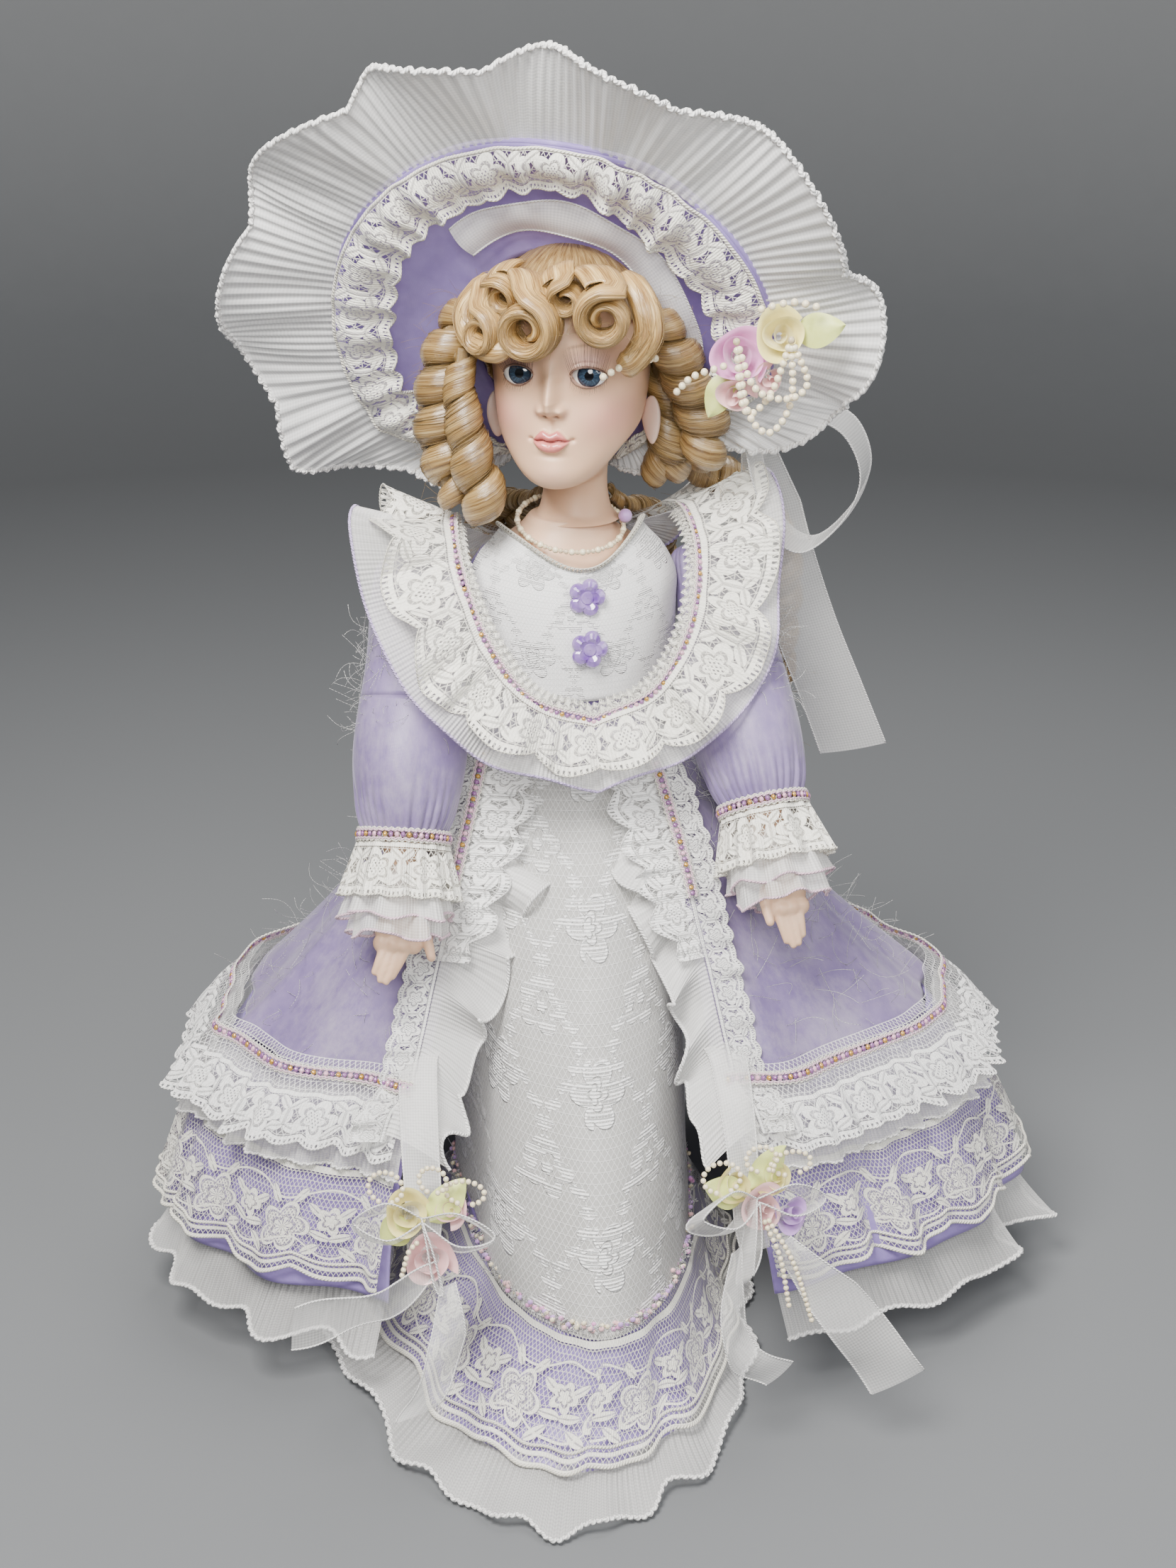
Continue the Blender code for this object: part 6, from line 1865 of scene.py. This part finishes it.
def column(rng):
    """The straight lace underskirt and its flounce, which spreads forward on the ground."""
    slow = waves(rng, 3, 8, 4, 1.2)

    def drape(angle, down):
        return 0.0013 * slow(angle, down) * (0.3 + down)

    grid = round_rows(COLUMN, 110, 300, drape)
    sheet_from("column_lace", grid, lace("column", 1), "cream_lace", ["underskirt"], True, 0.0008)
    ring = round_rows([COLUMN[-2], COLUMN[-1]], 9, 420, lambda a, d: 0.0012 + 0 * a)[-2]
    pairs = []
    for k, at in enumerate(ring):
        jump = rng.normal(0, 0.0009, 3)
        kind = ("lilac_rose", "pale_rose", "pink_rose", "pearl")[rng.integers(4)]
        pairs.append((ball_part(at + jump, (0.0011, 0.0008, 0.0010), 6, 4), plain(kind)))
    own(group("column_sequins", pairs), "figure", "pink_satin")
    fuzz = [tube_part(ring[i] + spline(rng.normal(0, 0.0012, (4, 3)), 8), 0.00016, 3)
            for i in rng.integers(0, len(ring), 500)]
    own(make("column_fringe", fuzz, look=thread("white")), "figure", "white_organza")

    soft, ruff = waves(rng, 7, 13, 4, 0.5), waves(rng, 17, 30, 5, 0.3)

    def satin(angle, down):
        return 0.0030 * soft(angle, down) * down - 0.0006

    grid = round_rows(FLOUNCE, 30, 420, satin)
    sheet_from("flounce_satin", grid, lavender_satin(0), "lavender_satin", ["underskirt_flounce"], True,
               0.0008)

    def laid(angle, down):
        return 0.0030 * soft(angle, down) * down + 0.0010 + 0.0016 * ruff(angle, down) * (0.15 + down)

    grid = round_rows(FLOUNCE_LACE, 30, 900, laid)
    k = np.linspace(0, 1, 30)[:, None]
    dip = np.abs(np.sin(np.linspace(0, 1, 900) * math.pi * 13))[None]
    grid[..., 2] -= 0.0030 * (dip - 0.5) * k**2
    grid[..., 2] = np.maximum(grid[..., 2], 0.0060)
    sheet_from("flounce_lace", grid, lace("large"), "cream_lace", (), True, 0.0,
               thread("cream"), 0.0007)
    inner = grid[-5] + np.array((0, -0.0002, 0.0006))
    own(make("flounce_cord", [edge_cord(inner, 0.0006, True)], look=thread("cream")), "figure", "cream_lace")

    def hem(angle, down):
        return 0.0030 * soft(angle, 1.0) + 0.00045 * np.sin(230 * angle) + 0.0030 * ruff(angle, down) * down

    grid = round_rows(FLOUNCE_HEM, 16, 2200, hem)
    lift = 0.0018 * (1 + np.sin(np.linspace(0, TAU, 2200) * 17))[None] * np.linspace(0, 1, 16)[:, None] ** 2
    grid[..., 2] = np.maximum(grid[..., 2] + lift, 0.0011)
    sheet_from("flounce_hem_organza", grid, organza("white", 0.45), "white_organza", (), True, 0.0,
               thread("white"), 0.0008)


# ---- the front trims, rosettes and ribbons -------------------------------------------------------
def strip_rows(line, across, out, width, rows, lift):
    """Cloth hanging from a line: across is the way it spreads, out the way it lifts by lift(along, down)."""
    along = lengths(line) / lengths(line)[-1]
    k = np.linspace(0, 1, rows)
    return np.array([line + across * (width * d)[:, None] + out * lift(along, d)[:, None] for d in k])


def front_trim(side):
    """Down one edge of the overskirt's opening: a pleated organza cascade under gathered lace and braid."""
    name = "left" if side > 0 else "right"
    rng = np.random.default_rng(80 + side)
    skirt = skirt_rows(OVERSKIRT, 80, 560)
    frill = skirt_rows(TRIM, 16, 560)
    col = 3 if side > 0 else -4
    edge = np.vstack([skirt[4:, col], frill[3:, col] + (0, -0.001, 0)])
    inward, outward = turn((-side * 1.0, -0.10, 0), SKIRT_TURN), turn((side * 0.32, -1.0, 0.12), SKIRT_TURN)
    inward, outward = unit(np.asarray(inward)), unit(np.asarray(outward))

    n = 900
    line = even(spline(edge[::6], 300), n)
    t = np.linspace(0, 1, n)
    widths = (0.022, 0.030, 0.027, 0.018, 0.016, 0.024) if side < 0 else (0.020, 0.022, 0.018, 0.013, 0.016,
                                                                          0.020)
    width = np.interp(t, (0, 0.12, 0.35, 0.62, 0.8, 1.0), widths)
    width = width * (1 + 0.16 * sway(t * TAU, rng, 5, 8, 3))
    ripple = sway(t * TAU, rng, 3, 7, 4)

    def cascade(along, d):
        return 0.0014 + d**1.3 * (0.0064 * ripple + 0.0030) + 0.00012 * np.sin(along * 560)

    grid = strip_rows(line + outward * 0.0012, inward, outward, width, 20, cascade)
    down = np.linspace(0, 1, 20)[:, None]
    grid[..., 2] -= down**1.3 * (0.011 + 0.004 * sway(t * TAU, rng, 4, 9, 3))
    sheet_from(f"{name}_jabot_organza", grid, organza("white", 0.62), "white_organza", [f"{name}_jabot"],
               edge=thread("white"), size=0.0007)

    top = even(spline(edge[:52:5], 200), n)
    gathers = sway(t * TAU, rng, 7, 15, 5)
    width = np.interp(t, (0, 0.5, 0.85, 1), (0.0210, 0.0190, 0.0150, 0.0080))
    scallop = (np.abs(np.sin(t * math.pi * 5.5)) - 0.6) * 0.0058

    def laid(along, d):
        return 0.0046 + 0.0009 * gathers * (0.15 + d) + 0.0030 * d

    k = np.linspace(0, 1, 16)
    grid = strip_rows(top, inward, outward, width, 16, laid)
    grid += (scallop[None] * k[:, None] ** 3)[..., None] * inward
    sheet_from(f"{name}_jabot_lace", grid, lace("small", 1), "cream_lace",
               edge=thread("white"), size=0.0003, zoom=0.60)
    rest = even(spline(edge[::5], 200), n)
    grid = strip_rows(rest + outward * 0.0026, -inward, outward,
                      np.interp(t, (0, 0.1, 1), (0.0090, 0.0102, 0.0110)), 8,
                      lambda along, d: 0.0008 + 0.0016 * gathers * d)
    grid += (np.abs(np.sin(t * math.pi * 24)) * 0.0012
             * np.linspace(0, 1, 8)[:, None] ** 2)[..., None] * -inward
    sheet_from(f"{name}_opening_lace", grid, lace("small", 1), "cream_lace",
               edge=thread("white"), size=0.0004)
    line = even(spline(edge[:44:5], 200), 300)
    braid(f"{name}_jabot_braid", line + outward * 0.0058, np.broadcast_to(outward, line.shape), "figure")


def rosette(side):
    """Ribbon roses, a leaf and pearl loops over sheer ribbon bows, at the foot of each front trim."""
    name = "left" if side > 0 else "right"
    mid = turn((-0.0595, -0.1085, 0.0905) if side < 0 else (0.0510, -0.1100, 0.0915), SKIRT_TURN)
    face = unit(np.array((side * 0.25, -1.0, 0.35)))
    right = unit(np.cross(face, (0, 0, 1))) * -1.0
    up = unit(np.cross(right, face)) * -1.0
    up = up if up[2] > 0 else -up

    def at(x, z, out=0.0):
        return mid + right * x * 1.2 + up * z * 1.2 + face * out

    if side > 0:
        flowers = [(at(0.002, -0.002, 0.002), 0.0075, "pale_rose", 5), (at(0.0115, -0.0055, 0.001), 0.0062,
                                                                        "lilac_rose", 6),
                   (at(-0.0045, 0.0060, 0.000), 0.0060, "yellow_rose", 7), (at(0.0085, 0.0055, -0.001),
                                                                            0.0058, "yellow_rose", 8)]
        leaves = [(at(0.000, 0.004), at(0.014, 0.013, -0.002)),
                  (at(-0.002, 0.002), at(-0.013, 0.008, -0.002))]
    else:
        flowers = [(at(-0.004, 0.002, 0.001), 0.0075, "yellow_rose", 9), (at(0.002, -0.0105, 0.002), 0.0080,
                                                                          "pale_rose", 10),
                   (at(0.0075, 0.0035, -0.001), 0.0052, "pale_rose", 11)]
        leaves = [(at(0.002, 0.0), at(0.0115, 0.012, -0.002)), (at(-0.004, 0.0), at(-0.012, -0.006, -0.002))]
    pairs = [(rose_part(place, face + right * 0.15, size * 1.25, 2.6, seed), plain(kind)) for place, size,
             kind, seed in flowers]
    pairs += [(leaf_part(a, b, face, 0.0056), plain("leaf")) for a, b in leaves]
    own(group(f"{name}_ribbon_roses", pairs), "figure", "pink_satin", f"{name}_rosette")

    loops = []
    for x, z, wide, tall in ((-0.010, 0.006, 0.0050, 0.0085), (0.003, 0.009, 0.0040, 0.0070),
                             (0.012, 0.006, 0.0055, 0.0065)):
        ring = [at(x + wide * math.sin(a), z + tall * (1 - math.cos(a)) * 0.5, 0.004 + 0.002 * math.sin(a))
                for a in np.linspace(0.4, TAU - 0.4, 22)]
        loops.append(np.array(ring))
    drops = ((0.004, -0.030), (0.009, -0.036)) if side > 0 else ((-0.004, -0.014),)
    for x, z in drops:
        points = [at(x * 0.3, -0.005, 0.004), at(x * 0.8, z * 0.5, 0.007), at(x * 1.3, z, 0.004)]
        loops.append(spline(points, 30))
    beads = [ball for line in loops for ball in pearls(line, 0.00095)]
    own(make(f"{name}_rosette_pearls", beads, look=plain("pearl")), "figure", "cream_pearl")

    edge = skirt_rows(OVERSKIRT, 80, 560)[:, 3 if side > 0 else -4]
    stem = spline([edge[-9], edge[-6] + face * 0.003, (edge[-4] + at(0, 0.006)) / 2 + face * 0.001,
                   at(0, 0.003, -0.0035), at(0, -0.006, -0.0035), at(0, -0.014, -0.0025)], 60)
    ribbon(f"{name}_rosette_ribbon", stem, right, np.interp(np.linspace(0, 1, 60), (0, 0.3, 1),
                                                            (0.0066, 0.0064, 0.0050)),
           organza("white", 0.5), "white_organza", "figure", (), 0.0011, 0.0010, thread("white"))
    wing = (0.0115, 0.0105) if side > 0 else (0.0120, 0.0105)
    for k, (x, z) in enumerate(((-0.019, -0.001), (0.020, -0.004), (-0.006 * side, -0.020))):
        tip = at(x, z, 0.001)
        line = spline([at(0, 0, -0.002), (at(0, 0) + tip) / 2 + up * 0.006 + face * 0.003, tip,
                       (at(0, 0) + tip) / 2 - up * 0.006 + face * 0.001, at(0, -0.001, -0.001)], 50)
        ribbon(f"{name}_bow_loop_{k}", line, unit(face + up * 0.4), wing[k % 2] * 0.55, organza("white", 0.5),
               "white_organza", "figure", (), 0.0006, 0.0008, thread("white"))


def ribbon_tails():
    """The sheer ribbon ends that hang from the rosettes."""
    tails = {
        "left": [([(0.060, -0.1160, 0.080), (0.076, -0.1210, 0.062), (0.090, -0.1240, 0.043),
                   (0.1000, -0.1270, 0.028)],
                  (1, -0.1, 0.55), 0.0100, ["left_ribbon_tail"]),
                 ([(0.045, -0.1160, 0.078), (0.043, -0.1220, 0.058), (0.047, -0.1240, 0.040),
                   (0.060, -0.1220, 0.031)],
                  (0.8, 0.2, 0.6), 0.0060, [])],
        "right": [([(-0.056, -0.1170, 0.078), (-0.070, -0.1220, 0.070), (-0.086, -0.1260, 0.068),
                    (-0.103, -0.1290, 0.066)],
                   (0.10, -0.25, 1), 0.0092, ["right_ribbon_tail"]),
                  ([(-0.052, -0.1180, 0.072), (-0.053, -0.1260, 0.056), (-0.058, -0.1290, 0.040),
                    (-0.064, -0.1300, 0.030)],
                   (1, 0.1, 0.3), 0.0075, [])],
    }
    for name, pair in tails.items():
        for k, (points, across, half, nodes) in enumerate(pair):
            line = turn(spline(points, 60), SKIRT_TURN)
            s = np.linspace(0, 1, 60)
            wide = half * np.interp(s, (0, 0.35, 1), (0.35, 0.9, 1.0))
            ribbon(f"{name}_ribbon_tail_{k}", line, across, wide, organza("white", 0.42), "white_organza",
                   "figure", nodes, 0.0016, 0.0010, thread("white"))


def fibres():
    """Loose mohair fibres standing off the satin of the overskirt and the sleeves."""
    rng = np.random.default_rng(91)
    grid = skirt_rows(OVERSKIRT, 80, 560)
    out = normals(grid)
    out *= np.sign((out * (grid - np.array((0, 0, 0.17)))).sum(-1).mean())
    parts = []
    for _ in range(900):
        i, j = rng.integers(8, 78), rng.integers(10, 550)
        parts.append(fibre(rng, grid[i, j], out[i, j], rng.uniform(0.006, 0.020)))
    own(make("skirt_fibres", parts, look=thread("white")), "figure", "lavender_satin")
    for side, name in ((1, "left"), (-1, "right")):
        shoulder, down, across, front = arm_axes(side)
        parts = []
        for _ in range(220):
            a, at = rng.uniform(-1.9, 1.9), rng.uniform(0.010, 0.050)
            way = across * math.cos(a) + front * math.sin(a)
            parts.append(fibre(rng, shoulder + down * at + way * 0.0165, way, rng.uniform(0.004, 0.013)))
        own(make(f"{name}_sleeve_fibres", parts, look=thread("white")), f"{name}_arm", "lavender_satin")


def fibre(rng, root, out, size):
    way = unit(rng.normal(0, 1, 3) + out * 0.55)
    side = unit(np.cross(way, rng.normal(0, 1, 3)))
    s = np.linspace(0, 1, 8)[:, None]
    line = root + out * 0.0008 + size * (way * s + side * rng.uniform(-0.4, 0.4) * np.sin(s * math.pi * 0.9))
    lift = np.clip(-(line - root) @ out + 0.0012, 0, None)
    return tube_part(line + out * lift[:, None], 0.00008, 3)


# ---- the body under the clothes, and the stand ---------------------------------------------------
def under_parts():
    """The stuffed body and limbs, the legs, and materials for the stand."""
    torso = [(0.1865, 0.0150, 0.0100), (0.1880, 0.0225, 0.0155), (0.1930, 0.0278, 0.0200),
             (0.2150, 0.0284, 0.0209), (0.2350, 0.0298, 0.0220), (0.2550, 0.0300, 0.0216),
             (0.2700, 0.0286, 0.0187), (0.2780, 0.0230, 0.0140), (0.2800, 0.0080, 0.0060)]
    stuffed = [("stuffed_torso", "figure", "torso", oval_rows(torso, 50, 96)[0][:, ::-1])]
    for side, name in ((1, "left"), (-1, "right")):
        profile = spline([(-0.0083, 0.0020), (-0.0075, 0.0060), (-0.0040, 0.0092), (0, 0.0100),
                          (0.020, 0.0097), (0.040, 0.0089), (0.0495, 0.0072), (0.0520, 0.0040),
                          (0.0535, 0.0012)], 40)
        rings = arm_rows(side, profile[:, 0], profile[:, 1], profile[:, 1],
                         np.linspace(0, TAU, 48, endpoint=False))
        stuffed.append((f"{name}_stuffed_arm", f"{name}_arm", f"{name}_upper_arm", rings))
        leg(side, name, stuffed)
    for name, body, node, grid in stuffed:
        piece = grid_mesh(name, grid, True, uv_of(grid, True), look=cotton())
        own(piece, body, "white_cotton", node)
    for node in ("stand_tube", "stand_rod", "stand_clip", "stand_base", "neck_bolt", "neck_washer"):
        paint(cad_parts[node], plain("steel"))


def leg(side, name, stuffed):
    """A stuffed thigh, a bisque shin, and the CAD shoe painted as vinyl."""
    x = side * 0.0145
    profile = [(0.1083, 0.0080), (0.1110, 0.0092), (0.1200, 0.0098), (0.1500, 0.0115), (0.1720, 0.0119),
               (0.1775, 0.0102), (0.1820, 0.0058), (0.1833, 0.0015)]
    rings = [(z, r, r) for z, r in profile]
    stuffed.append((f"{name}_stuffed_thigh", f"{name}_leg", f"{name}_thigh",
                    oval_rows(rings, 40, 48)[0][:, ::-1] + np.array((x, 0, 0))))
    rings = [(0.0122, 0.0050, 0.0050), (0.0260, 0.0052, 0.0052), (0.0460, 0.0069, 0.0069),
             (0.0740, 0.0091, 0.0091), (0.0900, 0.0086, 0.0086), (0.1060, 0.0087, 0.0087),
             (0.1078, 0.0080, 0.0080), (0.1079, 0.0010, 0.0010)]
    shin = grid_mesh(f"{name}_bisque_shin", oval_rows(rings, 60, 48)[0][:, ::-1] + np.array((x, 0, 0)), True,
                     look=bisque())
    own(shin, f"{name}_leg", "bisque_porcelain", f"{name}_shin")
    paint(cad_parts[f"{name}_shoe"], plain("vinyl"))


def main():
    studio()
    head()
    hair_pieces()
    hat()
    bodice()
    collar()
    for side in (1, -1):
        arm(side)
    skirts()
    for side in (1, -1):
        front_trim(side)
        rosette(side)
    ribbon_tails()
    fibres()
    under_parts()


main()
